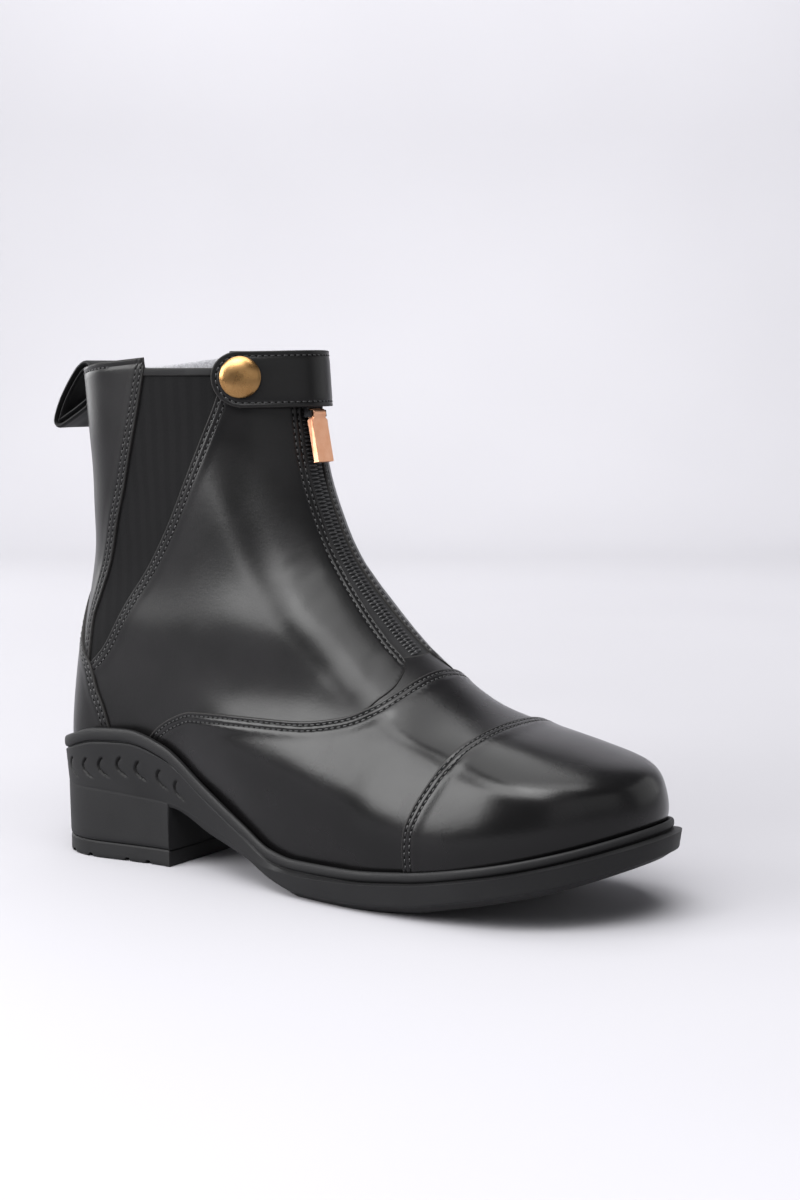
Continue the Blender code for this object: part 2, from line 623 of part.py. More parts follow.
def make_snap():
    """Brass cap, turned about the strap's own normal, on a short post."""
    turn = np.array([SNAP_TURN])
    level = level_where(turn, flat_line(SNAP_HEIGHT), 0.8, 1.2)
    axis = normal(turn, level)[0]
    seat = raised(turn, level, strap_seat(turn) + STRAP_THICK + GAP + STRAP_SETTLE)[0]
    profile = [(0, SNAP_DOME)]
    for angle in np.radians(SNAP_ANGLES):
        profile.append((SNAP_RADIUS * np.sin(angle), SNAP_RIM + (SNAP_DOME - SNAP_RIM) * np.cos(angle)))
    profile += [(SNAP_RADIUS, SNAP_LIP + BEAD_ROUND / 4), (SNAP_RADIUS - BEAD_ROUND / 2, SNAP_LIP),
                (SNAP_POST, SNAP_LIP), (SNAP_POST, 0), (0, 0)]
    bm = bmesh.new()
    points = [bm.verts.new((r, 0, z)) for r, z in profile]
    for a, b in zip(points, points[1:]):
        bm.edges.new((a, b))
    cap = add_object("snap_cap", bm, BRASS)
    turned = cap.modifiers.new("turn", "SCREW")
    turned.steps = SNAP_STEPS
    turned.render_steps = SNAP_STEPS
    turned.use_merge_vertices = True
    turned.merge_threshold = 0.00002
    cap.matrix_world = rod_matrix(Vector(seat) * MM, axis)


def front_frame(height, out):
    """Point on the front centre line at a height, raised by out, in millimetres."""
    turn = np.array([0.5])
    level = level_where(turn, flat_line(height), 0.5, 1.2)
    return raised(turn, level, out)[0]


def add_rod(bm, radius, length, sides):
    """A rod along Y, centred on the hinge."""
    turn = Matrix.Rotation(np.pi / 2, 4, "X")
    bmesh.ops.create_cone(bm, cap_ends=True, segments=sides, radius1=radius, radius2=radius,
                          depth=length, matrix=turn)


def make_zip_metal():
    """Slider body with two lugs and a pin, and the tab that swings on the pin."""
    hinge = front_frame(HINGE_Z, HINGE_OUT)
    pivot = Matrix.Translation(Vector(hinge) * MM)
    upright = pivot @ Matrix.Rotation(-np.radians(SLIDER_LEAN), 4, "Y")
    outer = PULL_WIDTH / 2 + GAP + LUG_THICK

    foot = -HINGE_OUT + ZIP_TOP + GAP + SLIDER_CLEAR
    face = foot + SLIDER_THICK
    body = bmesh.new()
    box(body, (foot, -outer, SLIDER_LOW), (face, outer, SLIDER_LOW + SLIDER_HEIGHT))
    slider = add_object("zip_slider", body, ZIP_BLACK)
    slider.matrix_world = upright
    lug_outline = [(foot, -LUG_REACH), (LUG_FRONT, -LUG_REACH), (LUG_FRONT, LUG_REACH), (face, LUG_REACH),
                   (face, SLIDER_LOW + 1), (foot, SLIDER_LOW + 1)]
    for name, y in (("cut_lug_outer", -outer), ("cut_lug_inner", outer - LUG_THICK)):
        lug = prism(name, lug_outline, y, y + LUG_THICK)
        lug.matrix_world = upright
        cut(slider, lug, "UNION")
    pin = bmesh.new()
    add_rod(pin, PIN_RADIUS, 2 * outer - LUG_THICK, 12)
    pin_object = add_object("cut_pin", pin, cutter=True)
    pin_object.matrix_world = upright
    cut(slider, pin_object, "UNION")

    tab = bmesh.new()
    box(tab, (-PULL_THICK / 2, -PULL_WIDTH / 2, -PULL_LENGTH), (PULL_THICK / 2, PULL_WIDTH / 2, 0))
    pull = add_object("zip_pull", tab, COPPER)
    lean = pivot @ Matrix.Rotation(-np.radians(PULL_LEAN), 4, "Y")
    pull.matrix_world = lean
    for name, radius, length, operation in (("cut_barrel", BARREL_RADIUS, PULL_WIDTH, "UNION"),
                                            ("cut_bore", BARREL_BORE, PULL_WIDTH + 4, "DIFFERENCE")):
        rod = bmesh.new()
        add_rod(rod, radius, length, 16)
        rod_object = add_object(name, rod, cutter=True)
        rod_object.matrix_world = lean
        cut(pull, rod_object, operation)


def make_pull_loop():
    """Webbing loop: a closed band whose sewn run follows the back strap."""
    path = np.array(LOOP_PATH)
    ahead = np.roll(path, -1, axis=0) - np.roll(path, 1, axis=0)
    ahead /= np.linalg.norm(ahead, axis=1, keepdims=True)
    side = np.stack([-ahead[:, 1], ahead[:, 0]], -1)
    across = np.linspace(-LOOP_WIDTH / 2, LOOP_WIDTH / 2, 2 * LOOP_STEPS + 1)
    height = path[:, 1]
    turn = np.zeros(len(path))
    back = raised(turn, level_where(turn, lambda t, p: height, 0.5, 1.3), QUARTER_TOP + GAP + LOOP_THICK)
    rows = []
    for edge in (-0.5, 0.5):
        outline = path + side * edge * LOOP_THICK
        rows.append(np.stack([np.stack([back[:, 0] + outline[:, 0] + y * y / (2 * LOOP_BEND),
                                        np.full(len(path), y), outline[:, 1]], -1) for y in across], 1))
    band = np.concatenate([rows[0], rows[1][:, ::-1]], 1)
    bm = grid_mesh(band, True)
    bm.verts.ensure_lookup_table()
    width = band.shape[1]
    top = (len(path) - 1) * width
    for i in range(width):
        j = (i + 1) % width
        bm.faces.new([bm.verts[k] for k in (top + i, top + j, j, i)])
    bmesh.ops.recalc_face_normals(bm, faces=bm.faces)
    add_object("pull_loop", bm, WEBBING)


clear_scene()
PARTS = collection("jodhpur_boot")
CUTTERS = collection("cutters")
LEATHER = material("black leather", (0.022, 0.022, 0.023), 0.38)
LINING = material("grey lining", (0.16, 0.16, 0.17), 0.9)
ELASTIC = material("black elastic", (0.010, 0.010, 0.011), 0.85)
WEBBING = material("black webbing", (0.013, 0.013, 0.014), 0.8)
ZIP_BLACK = material("black zip", (0.014, 0.014, 0.015), 0.5)
RUBBER = material("black rubber", (0.035, 0.035, 0.036), 0.6)
BRASS = material("antique brass", (0.45, 0.28, 0.10), 0.35, 1.0)
COPPER = material("copper", (0.72, 0.36, 0.22), 0.35, 1.0)

make_upper()
make_panels()
heel_outline = make_sole()
make_top_piece(heel_outline)
make_insole()
make_strap()
make_snap()
make_zip_metal()
make_pull_loop()
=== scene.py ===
# %% [markdown]
# # A front-zip jodhpur boot
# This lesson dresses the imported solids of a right-foot riding boot. The solids give the sizes, the bodies
# and the hinge of the zip's pull tab. Every visible piece is made again here at the fineness that the eye
# needs: leather panels with rolled edges, thread, coil zip, webbing, brass and moulded rubber.

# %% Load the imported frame
import math

import bpy
import numpy as np
from mathutils import Matrix, Vector


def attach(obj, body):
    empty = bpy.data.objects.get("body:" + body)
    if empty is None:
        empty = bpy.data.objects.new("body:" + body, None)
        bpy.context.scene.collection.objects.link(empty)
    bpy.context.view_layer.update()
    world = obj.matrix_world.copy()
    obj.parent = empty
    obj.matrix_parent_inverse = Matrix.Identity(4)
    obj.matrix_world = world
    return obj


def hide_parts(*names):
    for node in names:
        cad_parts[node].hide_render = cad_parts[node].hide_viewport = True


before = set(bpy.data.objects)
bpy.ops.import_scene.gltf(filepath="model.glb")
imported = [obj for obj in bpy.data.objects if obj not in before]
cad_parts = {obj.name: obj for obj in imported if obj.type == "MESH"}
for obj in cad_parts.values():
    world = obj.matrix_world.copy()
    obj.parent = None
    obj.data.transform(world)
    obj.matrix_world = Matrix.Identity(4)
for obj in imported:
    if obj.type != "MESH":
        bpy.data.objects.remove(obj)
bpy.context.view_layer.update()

MM = 0.001

# %% [markdown]
# The camera stands in front of the outer side, a little above the collar, and looks slightly down. Its
# place was found by fitting the boot's outline. A helper that aims at a point could be used, but the turn
# and the pitch are known, so the three axes are written down directly. The lens is longer than a view of
# a whole pair would need, because one boot fills the frame.

# %% Camera
EYE = (547.4, -633.7, 197.0)
VIEW_TURN = math.radians(34.0)
VIEW_PITCH = math.radians(6.5)
FOCAL_SHARE = 1450 / 1200      # focal length over frame height, as fitted
CLOSER = 1.4
SENSOR = 36.0


def add_object(name, data):
    made = bpy.data.objects.new(name, data)
    bpy.context.scene.collection.objects.link(made)
    return made


def make_camera():
    data = bpy.data.cameras.new("camera")
    data.sensor_fit = "VERTICAL"
    data.sensor_height = SENSOR
    data.lens = SENSOR * FOCAL_SHARE * CLOSER
    made = add_object("camera", data)
    level = Vector((-math.sin(VIEW_TURN), math.cos(VIEW_TURN), 0))
    ahead = level * math.cos(VIEW_PITCH) - Vector((0, 0, math.sin(VIEW_PITCH)))
    right = Vector((math.cos(VIEW_TURN), math.sin(VIEW_TURN), 0))
    axes = Matrix((right, right.cross(ahead), -ahead)).transposed()
    made.matrix_world = Matrix.Translation(Vector(EYE) * MM) @ axes.to_4x4()
    bpy.context.scene.camera = made
    return made


print("lens:", round(make_camera().data.lens, 1), "mm")

# %% [markdown]
# The last is the wooden foot that a boot is made on. It is drawn as sections from the insole edge to the
# collar, with the same values as the solids. A modelled mesh with subdivision would be one way, but a
# formula lets every panel, seam and stitch ask for a point of the same smooth form. Each column of the
# table is averaged over a short reach, so that reflections run over the leather with no kinks.

# %% Form of the last
HEEL_SEAT, TOE_SEAT = 34.0, 29.0
HEEL_HALF, BALL_HALF = 31.0, 42.7
BACK_TOP, FRONT_TOP = 196.0, 204.0
TOE_SWING, TOE_TURN_FROM, TOE_TURN_RUN = 9.0, 20.0, 200.0
WAIST_SWING, WAIST_FROM, WAIST_RUN = 3.5, 10.0, 150.0
SWING_FADE, SWING_LEAST = 0.9, 0.15
WIDTHS_AT = (0.10, 0.38, 0.70, 0.92)
END_POWER = 2.6
SAG_FADE, SAG_POWER = 0.65, 1.3
SECTION_COLUMNS = ("level", "back_x", "back_z", "front_x", "front_z",
                   "heel", "waist", "ball", "toe", "round_back", "round_front")
SECTIONS = np.array([
    (0.00, -28.5, HEEL_SEAT, 219.0, TOE_SEAT, 28.0, 28.0, 41.0, 39.0, 30, 44),
    (0.10, -30.5, 48.0, 223.0, 38.0, HEEL_HALF, 32.0, BALL_HALF, 40.0, 32, 45),
    (0.20, -31.0, 63.0, 220.0, 50.5, 31.5, 34.0, 39.8, 38.0, 32, 45),
    (0.30, -30.0, 80.0, 199.0, 58.0, 30.5, 34.5, 36.0, 33.0, 30, 45),
    (0.40, -26.3, 97.0, 164.0, 67.0, 29.0, 33.0, 33.0, 28.0, 28, 42),
    (0.50, -22.5, 113.0, 133.5, 85.0, 28.5, 31.5, 31.5, 27.0, 27, 40),
    (0.62, -19.8, 132.0, 108.5, 107.5, 29.0, 31.0, 31.0, 26.5, 27, 38),
    (0.75, -19.5, 152.0, 90.0, 134.0, 30.5, 31.5, 31.0, 26.0, 28, 37),
    (0.88, -21.0, 174.0, 79.0, 166.0, 32.5, 33.5, 31.0, 26.0, 31, 38),
    (1.00, -22.8, BACK_TOP, 75.0, FRONT_TOP, 34.5, 35.5, 33.0, 27.0, 34, 40),
])
INSOLE_DIP = np.array([
    (0.000, 0.0), (0.116, 0.9), (0.198, 0.5), (0.279, -5.1), (0.381, -15.1), (0.462, -20.2),
    (0.544, -21.5), (0.625, -20.1), (0.727, -16.6), (0.829, -11.4), (0.951, -3.2), (1.000, 0.0),
])
LEVELS = np.linspace(-0.2, 1.4, 3201)
SHARES = np.linspace(0, 1, 1001)
AVERAGE = np.linspace(-0.03, 0.03, 9)


def smooth(knots, values, at):
    """Monotone cubic through the knots, carried on straight past both ends."""
    step = np.diff(knots)
    rise = np.diff(values) / step
    slope = np.zeros(len(knots))
    same = rise[:-1] * rise[1:] > 0
    before, after = rise[:-1][same], rise[1:][same]
    left, right = step[:-1][same], step[1:][same]
    slope[1:-1][same] = 3 * (left + right) / ((2 * right + left) / before + (right + 2 * left) / after)
    slope[0], slope[-1] = rise[0], rise[-1]
    inside = np.clip(at, knots[0], knots[-1])
    past = at - inside
    i = np.clip(np.searchsorted(knots, inside, side="right") - 1, 0, len(knots) - 2)
    u = (inside - knots[i]) / step[i]
    curve = ((1 + 2 * u) * (1 - u) ** 2 * values[i] + u * (1 - u) ** 2 * step[i] * slope[i]
             + u * u * (3 - 2 * u) * values[i + 1] + u * u * (u - 1) * step[i] * slope[i + 1])
    return curve + past * np.where(past > 0, slope[-1], slope[0])


def averaged(table, column, at, low=-np.inf, high=np.inf):
    """A column of a table as a smooth curve, averaged over a short reach."""
    runs = [smooth(table[:, 0], table[:, column], np.clip(at + shift, low, high)) for shift in AVERAGE]
    return np.mean(runs, axis=0)


SECTION_CURVES = {name: averaged(SECTIONS, i, LEVELS) for i, name in enumerate(SECTION_COLUMNS)}
DIP_CURVE = averaged(INSOLE_DIP, 1, SHARES, 0, 1)
print("sections:", len(SECTIONS), "up to", FRONT_TOP, "mm in front")

# %% [markdown]
# A point of the last is named by a turn round the boot and a level between insole and collar. The half
# width of a section is a cubic through four widths, closed by round ends, and the whole foot swings inwards
# at the toe. A copy of the form in every piece would drift apart, so all later pieces ask these functions.

# %% Points of the last
def section(name, level):
    return np.interp(level, LEVELS, SECTION_CURVES[name])


def half_width(share, level):
    """Half width of a section: a cubic through its four widths, closed by its two round ends."""
    names = ("heel", "waist", "ball", "toe")
    width = 0.0
    for i, name in enumerate(names):
        weight = 1.0
        for j, place in enumerate(WIDTHS_AT):
            if j != i:
                weight = weight * (share - place) / (WIDTHS_AT[i] - place)
        width = width + weight * section(name, level)
    length = section("front_x", level) - section("back_x", level)
    for end, run in (("round_back", share), ("round_front", 1 - share)):
        inside = np.clip(run * length / section(end, level), 0, 1)
        width = width * np.sqrt(1 - (1 - inside) ** END_POWER)
    return width


def last(turn, level):
    """Point of the lasted form. turn goes 0 at the back, 0.25 outer side, 0.5 front, 0.75 inner side."""
    turn, level = np.broadcast_arrays(np.asarray(turn, float), np.asarray(level, float))
    angle = 2 * np.pi * turn
    share = (1 - np.cos(angle)) / 2
    x = section("back_x", level) * (1 - share) + section("front_x", level) * share
    z = section("back_z", level) * (1 - share) + section("front_z", level) * share
    z = z + np.clip(1 - level / SAG_FADE, 0, 1) ** SAG_POWER * np.interp(share, SHARES, DIP_CURVE)
    y = -np.sign(np.sin(angle)) * half_width(share, level)
    toe_turn = TOE_SWING * np.maximum((x - TOE_TURN_FROM) / TOE_TURN_RUN, 0) ** 3
    waist_turn = WAIST_SWING * np.sin(np.pi * np.clip((x - WAIST_FROM) / WAIST_RUN, 0, 1)) ** 2
    y = y + np.clip(1 - level / SWING_FADE, SWING_LEAST, 1) * (toe_turn - waist_turn)
    return np.stack([x, y, z], -1)


def slopes(turn, level, tiny=1e-3):
    """How the form's point moves with turn and with level."""
    along = last(turn + tiny, level) - last(turn - tiny, level)
    up = last(turn, level + tiny) - last(turn, level - tiny)
    return along / (2 * tiny), up / (2 * tiny)


def unit(vectors):
    return vectors / np.linalg.norm(vectors, axis=-1, keepdims=True)


def run_along(points):
    """Length along a line of points, from its start to each of them."""
    return np.concatenate([[0], np.cumsum(np.linalg.norm(np.diff(points, axis=0), axis=1))])


def normal(turn, level):
    return unit(np.cross(*slopes(turn, level)))


print("point of the toe:", np.round(last(0.5, 0.1), 1))

# %% [markdown]
# Often a height is known and the level is not, as along the collar. The form can't be solved for it, but
# heights rise with the level, so halving a range finds the place, for a whole array at a time.

# %% Finding places on the last
def halve(low, high, past, steps=30):
    """Where a test turns true between low and high, found by halving."""
    for _ in range(steps):
        middle = (low + high) / 2
        over = past(middle)
        high = np.where(over, middle, high)
        low = np.where(over, low, middle)
    return (low + high) / 2


def level_where(turn, height, low=-0.1, high=1.3):
    """Level at which the form reaches a height, or the height that a function of its points gives."""
    def above(level):
        point = last(turn, level)
        return point[..., 2] > (height(point) if callable(height) else height)

    return halve(np.full(np.shape(turn), low), np.full(np.shape(turn), high), above)


def step_between(value, start, end):
    """Soft step from 0 at start to 1 at end."""
    share = np.clip((value - start) / (end - start), 0, 1)
    return share * share * (3 - 2 * share)


print("ball width:", round(2 * float(half_width(np.array(0.7), np.array(0.1))), 1), "mm")

# %% [markdown]
# Worn leather is never the plain form. Where the ankle bends, soft folds cross the quarters, and over the
# ankle and the ball the leather swells. They could be painted as bump, but then the outline and the
# reflections would stay those of the last. Here each fold is a line on the side of the boot with a depth
# and a width, and the surface sinks along it and swells beside it.

# %% Folds of the leather
# side-view start and end, depth (below zero is a swell), half width,
# and the side of the boot: -1 outer, 1 inner, 0 both
FOLDS = np.array([
    (-14, 93.5, 116, 100, -1.5, 13.0, 0), (100, 108, 88, 119, 0.18, 3.8, 0),
    (105, 101, 94, 110, 0.16, 3.6, -1), (94, 118, 84, 124, 0.14, 3.6, 0), (124, 83, 119, 90, 0.22, 2.2, 0),
    (119, 80, 115, 87, 0.15, 2.2, 0), (122, 78, 106, 80, -0.2, 6.0, 0), (100, 103, 86, 112, 0.18, 3.6, 1),
    (50, 57, 125, 42, -1.9, 12.0, 0), (110, 45, 175, 25, -1.3, 13.0, 0), (134, 34, 154, 78, 0.28, 8.0, 0),
])
BESIDE_SHARE, BESIDE_AT = 0.35, 2  # the swell beside a fold: share of its depth, distance in half widths
SIDE_BLEND = 4                   # a fold of one side fades out this far across the middle plane
WAVE = 0.12                      # the hide's own slow unevenness, in mm
WAVE_X, WAVE_Z, WAVE_SHIFT = (7.1, 19.0), (12.3, 8.7), 1.3
STIFF_FROM, STIFF_TO = 140, 165  # the toe cap is stiffened, so the unevenness ends here


def drape(points):
    """How far the leather leaves the plain form."""
    x, y, z = points[..., 0], points[..., 1], points[..., 2]
    out = WAVE * np.sin(x / WAVE_X[0] + z / WAVE_Z[0]) * np.sin(z / WAVE_Z[1] - x / WAVE_X[1] + WAVE_SHIFT)
    out = out * (1 - step_between(x, STIFF_FROM, STIFF_TO))
    for x0, z0, x1, z1, depth, half, side in FOLDS:
        run = np.array([x1 - x0, z1 - z0])
        along = ((x - x0) * run[0] + (z - z0) * run[1]) / np.hypot(*run) ** 2
        nearest = np.clip(along, 0, 1)
        away = np.hypot(x - x0 - nearest * run[0], z - z0 - nearest * run[1]) / half
        ends = step_between(along, -0.15, 0.3) * (1 - step_between(along, 0.7, 1.15))
        here = 1 if side == 0 else step_between(side * y, -SIDE_BLEND, SIDE_BLEND)
        shape = -np.exp(-away ** 2) + BESIDE_SHARE * np.exp(-(away - BESIDE_AT) ** 2)
        out = out + here * ends * depth * shape
    return out


def surface(turn, level, height):
    """Point at a height above the draped form."""
    place = last(turn, level)
    lift = np.asarray(height) + drape(place)
    return place + normal(turn, level) * lift[..., None]


print("folds:", len(FOLDS))

# %% [markdown]
# Materials come next, because every piece needs one. One function turns the hex colours that a designer
# reads into linear values, and one adds a node with its settings and links. Patterns use object
# coordinates, in metres, so a scale is simply one over the size of a grain. Each finish could be wired by
# hand, but all follow one plan, so one more function takes a finish as data.

# %% Helpers for materials
def colour(code):
    """An sRGB hex code as the linear colour that a socket takes."""
    parts = [int(code[i:i + 2], 16) / 255 for i in (1, 3, 5)]
    return tuple(c / 12.92 if c <= 0.04045 else ((c + 0.055) / 1.055) ** 2.4 for c in parts) + (1.0,)


def per(size_mm):
    """Texture scale for a pattern of this size."""
    return 1 / (size_mm * MM)


def add_node(made, kind, settings=None, links=None):
    node = made.node_tree.nodes.new("ShaderNode" + kind)
    for name, value in (settings or {}).items():
        if name in node.inputs:
            node.inputs[name].default_value = value
        else:
            setattr(node, name, value)
    for name, socket in (links or {}).items():
        made.node_tree.links.new(socket, node.inputs[name])
    return node


def new_material(name, settings):
    """A material with its shader's plain values set, and a place for its patterns to start from."""
    made = bpy.data.materials.new(name)
    made.use_nodes = True
    shader = made.node_tree.nodes["Principled BSDF"]
    for socket, value in settings.items():
        shader.inputs[socket].default_value = value
    place = add_node(made, "TexCoord").outputs["Object"]
    return made, shader, place


def two_colours(made, factor, low, high):
    """A ramp between two hex colours over the middle of a noise's range."""
    ramp = add_node(made, "ValToRGB", links={"Fac": factor})
    for stop, place, code in zip(ramp.color_ramp.elements, (0.3, 0.7), (low, high)):
        stop.position = place
        stop.color = colour(code)
    return ramp.outputs["Color"]


def make_finish(name, settings, patterns, dark, light, gloss=None):
    """A finish from patterns. The first one tints it and, if gloss is given, drives its roughness.

    A pattern is a node, its settings and, where it adds bump, a strength and a depth in mm. Gloss is the
    range of the first pattern's value and the two roughnesses that it turns into.
    """
    made, shader, place = new_material(name, settings)
    tint, links = None, {}
    for kind, values, *bump in patterns:
        node = add_node(made, kind, values, {"Vector": place})
        factor = node.outputs["Distance" if kind == "TexVoronoi" else "Fac"]
        tint = factor if tint is None else tint
        if bump:
            relief = add_node(made, "Bump", {"Strength": bump[0], "Distance": bump[1] * MM},
                              {"Height": factor, **links})
            links = {"Normal": relief.outputs["Normal"]}
    if gloss:
        ranges = dict(zip(("From Min", "From Max", "To Min", "To Max"), gloss))
        links["Roughness"] = add_node(made, "MapRange", ranges, {"Value": tint}).outputs["Result"]
    links["Base Color"] = two_colours(made, tint, dark, light)
    for socket, source in links.items():
        made.node_tree.links.new(source, shader.inputs[socket])
    print("finish:", name)
    return made


print("helpers ready")

# %% [markdown]
# Corrected-grain leather is a hide that was sanded, embossed with a fine grain and sealed with a black
# film. The film gives a soft, wide sheen with a slightly sharper one on top, so the shader has a rough base
# and a thin coat. Toe cap and vamp are brushed to a higher shine, so they get a smoother finish of their
# own. The grain is about 0.7 mm wide and is drawn a little coarser than life, or it would not show.

# %% Leather
HIDE = {"IOR": 1.5, "Specular IOR Level": 0.235,
        "Coat Weight": 0.03, "Coat Roughness": 0.2, "Coat IOR": 1.45}
GRAIN = (("TexNoise", {"Scale": per(24), "Detail": 3.0}),
         ("TexVoronoi", {"Scale": per(0.9), "Randomness": 1.0}, 0.10, 0.12),
         ("TexNoise", {"Scale": per(2.6), "Detail": 4.0, "Roughness": 0.6}, 0.10, 0.35))
LEATHER = make_finish("corrected_grain_leather", HIDE, GRAIN, "#080808", "#0c0b0c", (0.35, 0.65, 0.3, 0.38))
POLISHED = make_finish("polished_grain_leather", HIDE, GRAIN, "#080808", "#0c0b0c", (0.35, 0.65, 0.22, 0.29))

# %% [markdown]
# Several small finishes need only one noise, which tints them and roughens some of them. A cut edge is
# painted over bare fibre, so it is dull. Thread is bonded polyester, with a faint shine. The needle holes
# get a near-black, dull finish, which is painted shade in the holes. The lining is brushed, so it is pale
# and fuzzy. Nylon coil is drawn through a die, so it is smooth.

# %% Edge paint, thread, painted needle-hole shade, lining and nylon
CUT_EDGE = make_finish("painted_leather_edge", {"IOR": 1.5, "Roughness": 0.6, "Specular IOR Level": 0.2},
                       (("TexNoise", {"Scale": per(0.7), "Detail": 3.0}, 0.2, 0.2),), "#161515", "#222120")
THREAD = make_finish("bonded_polyester_thread", {"IOR": 1.55, "Roughness": 0.5},
                     (("TexNoise", {"Scale": per(0.4), "Detail": 2.0}, 0.3, 0.1),), "#0d0d0e", "#161617")
# near-black, dull finish for the needle holes: painted shade
PAINTED_HOLE_SHADE = make_finish("needle_hole_painted_shade", {"IOR": 1.5, "Roughness": 0.9, "Specular IOR Level": 0.1},
                      (("TexNoise", {"Scale": per(0.5), "Detail": 2.0}),), "#030303", "#080808")
LINING = make_finish("brushed_lining",
                     {"IOR": 1.45, "Roughness": 0.95, "Sheen Weight": 0.3, "Sheen Roughness": 0.6},
                     (("TexNoise", {"Scale": per(0.9), "Detail": 5.0, "Roughness": 0.7}, 0.6, 0.5),),
                     "#56565a", "#8a8a8d")
NYLON = make_finish("nylon_coil", {"IOR": 1.53, "Roughness": 0.4},
                    (("TexNoise", {"Scale": per(3), "Detail": 2.0}),), "#161617", "#212122")

# %% [markdown]
# Elastic and webbing are matte because light is lost between their threads. Elastic shows fine upright ribs
# where rubber threads run inside it, with a knit over them. Webbing shows a plain weave, which is two waves
# across each other. Both are drawn coarser than life, so that they show.

# %% Elastic and webbing
ELASTIC = make_finish(
    "ribbed_gore_elastic",
    {"IOR": 1.45, "Roughness": 0.8, "Specular IOR Level": 0.15,
     "Sheen Weight": 0.01, "Sheen Roughness": 0.5},
    (("TexWave", {"bands_direction": "X", "Scale": per(0.9) / 20, "Distortion": 0.8, "Detail": 2.0,
                  "Detail Scale": 3.0}, 0.06, 0.1),
     ("TexNoise", {"Scale": per(0.5), "Detail": 2.0}, 0.3, 0.15)), "#060607", "#09090a")
WEBBING = make_finish(
    "woven_webbing",
    {"IOR": 1.5, "Roughness": 0.7, "Specular IOR Level": 0.25,
     "Sheen Weight": 0.03, "Sheen Roughness": 0.4},
    (("TexWave", {"bands_direction": "Y", "Scale": per(1.5) / 20}, 0.5, 0.3),
     ("TexWave", {"bands_direction": "Z", "Scale": per(1.1) / 20}, 0.5, 0.3)), "#0c0c0d", "#151516")

# %% [markdown]
# The sole is thermoplastic rubber from a mould with a finely blasted surface, so it is matte with a faint
# sparkle of texture and no coat. Deep in its ornament the rubber gets a near-black copy, as painted shade.
# Brass, copper and zinc are metals: their colour is in the reflection, and a slow noise in roughness stands
# for handling.

# %% Rubber and metals
MOULDED, METALLIC = {"IOR": 1.5, "Specular IOR Level": 0.26}, {"Metallic": 1.0}
BLASTED = (("TexNoise", {"Scale": per(18), "Detail": 4.0}),
           ("TexNoise", {"Scale": per(0.55), "Detail": 3.0, "Roughness": 0.6}, 0.22, 0.2))
HANDLED = (("TexNoise", {"Scale": per(5), "Detail": 5.0, "Roughness": 0.6}),
           ("TexNoise", {"Scale": per(0.6), "Detail": 2.0}, 0.06, 0.1))
RUBBER = make_finish("moulded_rubber", MOULDED, BLASTED, "#0d0d0e", "#131314", (0.3, 0.7, 0.52, 0.66))
# a near-black copy of the rubber: painted shade for the crescent cuts
PAINTED_RECESS_SHADE = make_finish("rubber_recess_painted_shade", MOULDED, BLASTED, "#030303", "#060606", (0.3, 0.7, 0.52, 0.66))
BRASS = make_finish("antique_brass", METALLIC, HANDLED, "#906c43", "#a07d52", (0.3, 0.7, 0.24, 0.32))
COPPER = make_finish("copper_plating", METALLIC, HANDLED, "#dca07c", "#eab898", (0.3, 0.7, 0.4, 0.5))
DARK_METAL = make_finish("black_enamelled_zinc", METALLIC, HANDLED, "#2a2a2b", "#363637",
                         (0.3, 0.7, 0.35, 0.45))

# %% [markdown]
# Meshes are filled from arrays, which is quick for pieces with tens of thousands of faces. Each piece is
# drawn in millimetres in the boot's own frame, so it needs no moving, and is then told which body it
# rides on, which finish slot it takes and which solid it stands for.

# %% Putting a mesh into the scene
def piece(name, points, faces, finishes, marks=None, stands_for=(), body="boot", sharp=40):
    """A mesh object from points in millimetres and a list of face arrays."""
    points = np.asarray(points, float)
    faces = faces if isinstance(faces, list) else [faces]
    finishes = finishes if isinstance(finishes, list) else [finishes]
    sizes = np.concatenate([np.full(len(f), f.shape[1]) for f in faces])
    loops = np.concatenate([f.ravel() for f in faces])
    mesh = bpy.data.meshes.new(name)
    mesh.vertices.add(len(points))
    mesh.vertices.foreach_set("co", (points * MM).ravel())
    mesh.loops.add(len(loops))
    mesh.loops.foreach_set("vertex_index", loops.astype(np.int32))
    mesh.polygons.add(len(sizes))
    mesh.polygons.foreach_set("loop_start", np.concatenate([[0], np.cumsum(sizes)[:-1]]).astype(np.int32))
    for finish in finishes:
        mesh.materials.append(finish)
    if marks is not None:
        mesh.polygons.foreach_set("material_index", np.concatenate(marks).astype(np.int32))
    mesh.update()
    mesh.validate()
    mesh.shade_smooth()
    mesh.set_sharp_from_angle(angle=math.radians(sharp))
    made = add_object(name, mesh)
    dress(made, stands_for, body)
    print(name, "triangles:", int((sizes - 2).sum()))
    return made


def dress(made, stands_for=(), body="boot"):
    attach(made, body)
    if stands_for:
        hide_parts(*stands_for)


def quads_of(index):
    """Quads between the neighbouring rows and columns of a grid of point numbers."""
    corners = (index[:-1, :-1], index[:-1, 1:], index[1:, 1:], index[1:, :-1])
    return np.stack(corners, -1).reshape(-1, 4)


def grid_faces(rows, columns, wrap_columns=False, wrap_rows=False):
    """Quads between the rows of a grid, turned so that columns then rows run anticlockwise outside."""
    index = np.arange(rows * columns).reshape(rows, columns)
    if wrap_columns:
        index = np.concatenate([index, index[:, :1]], 1)
    if wrap_rows:
        index = np.concatenate([index, index[:1]], 0)
    return quads_of(index)


print("mesh helper ready")

# %% [markdown]
# A seam is drawn as a line on the side view, as a pattern cutter would mark it on the last. It could be
# projected with a knife tool, but a formula keeps it exact, so a seam is only a table of points.

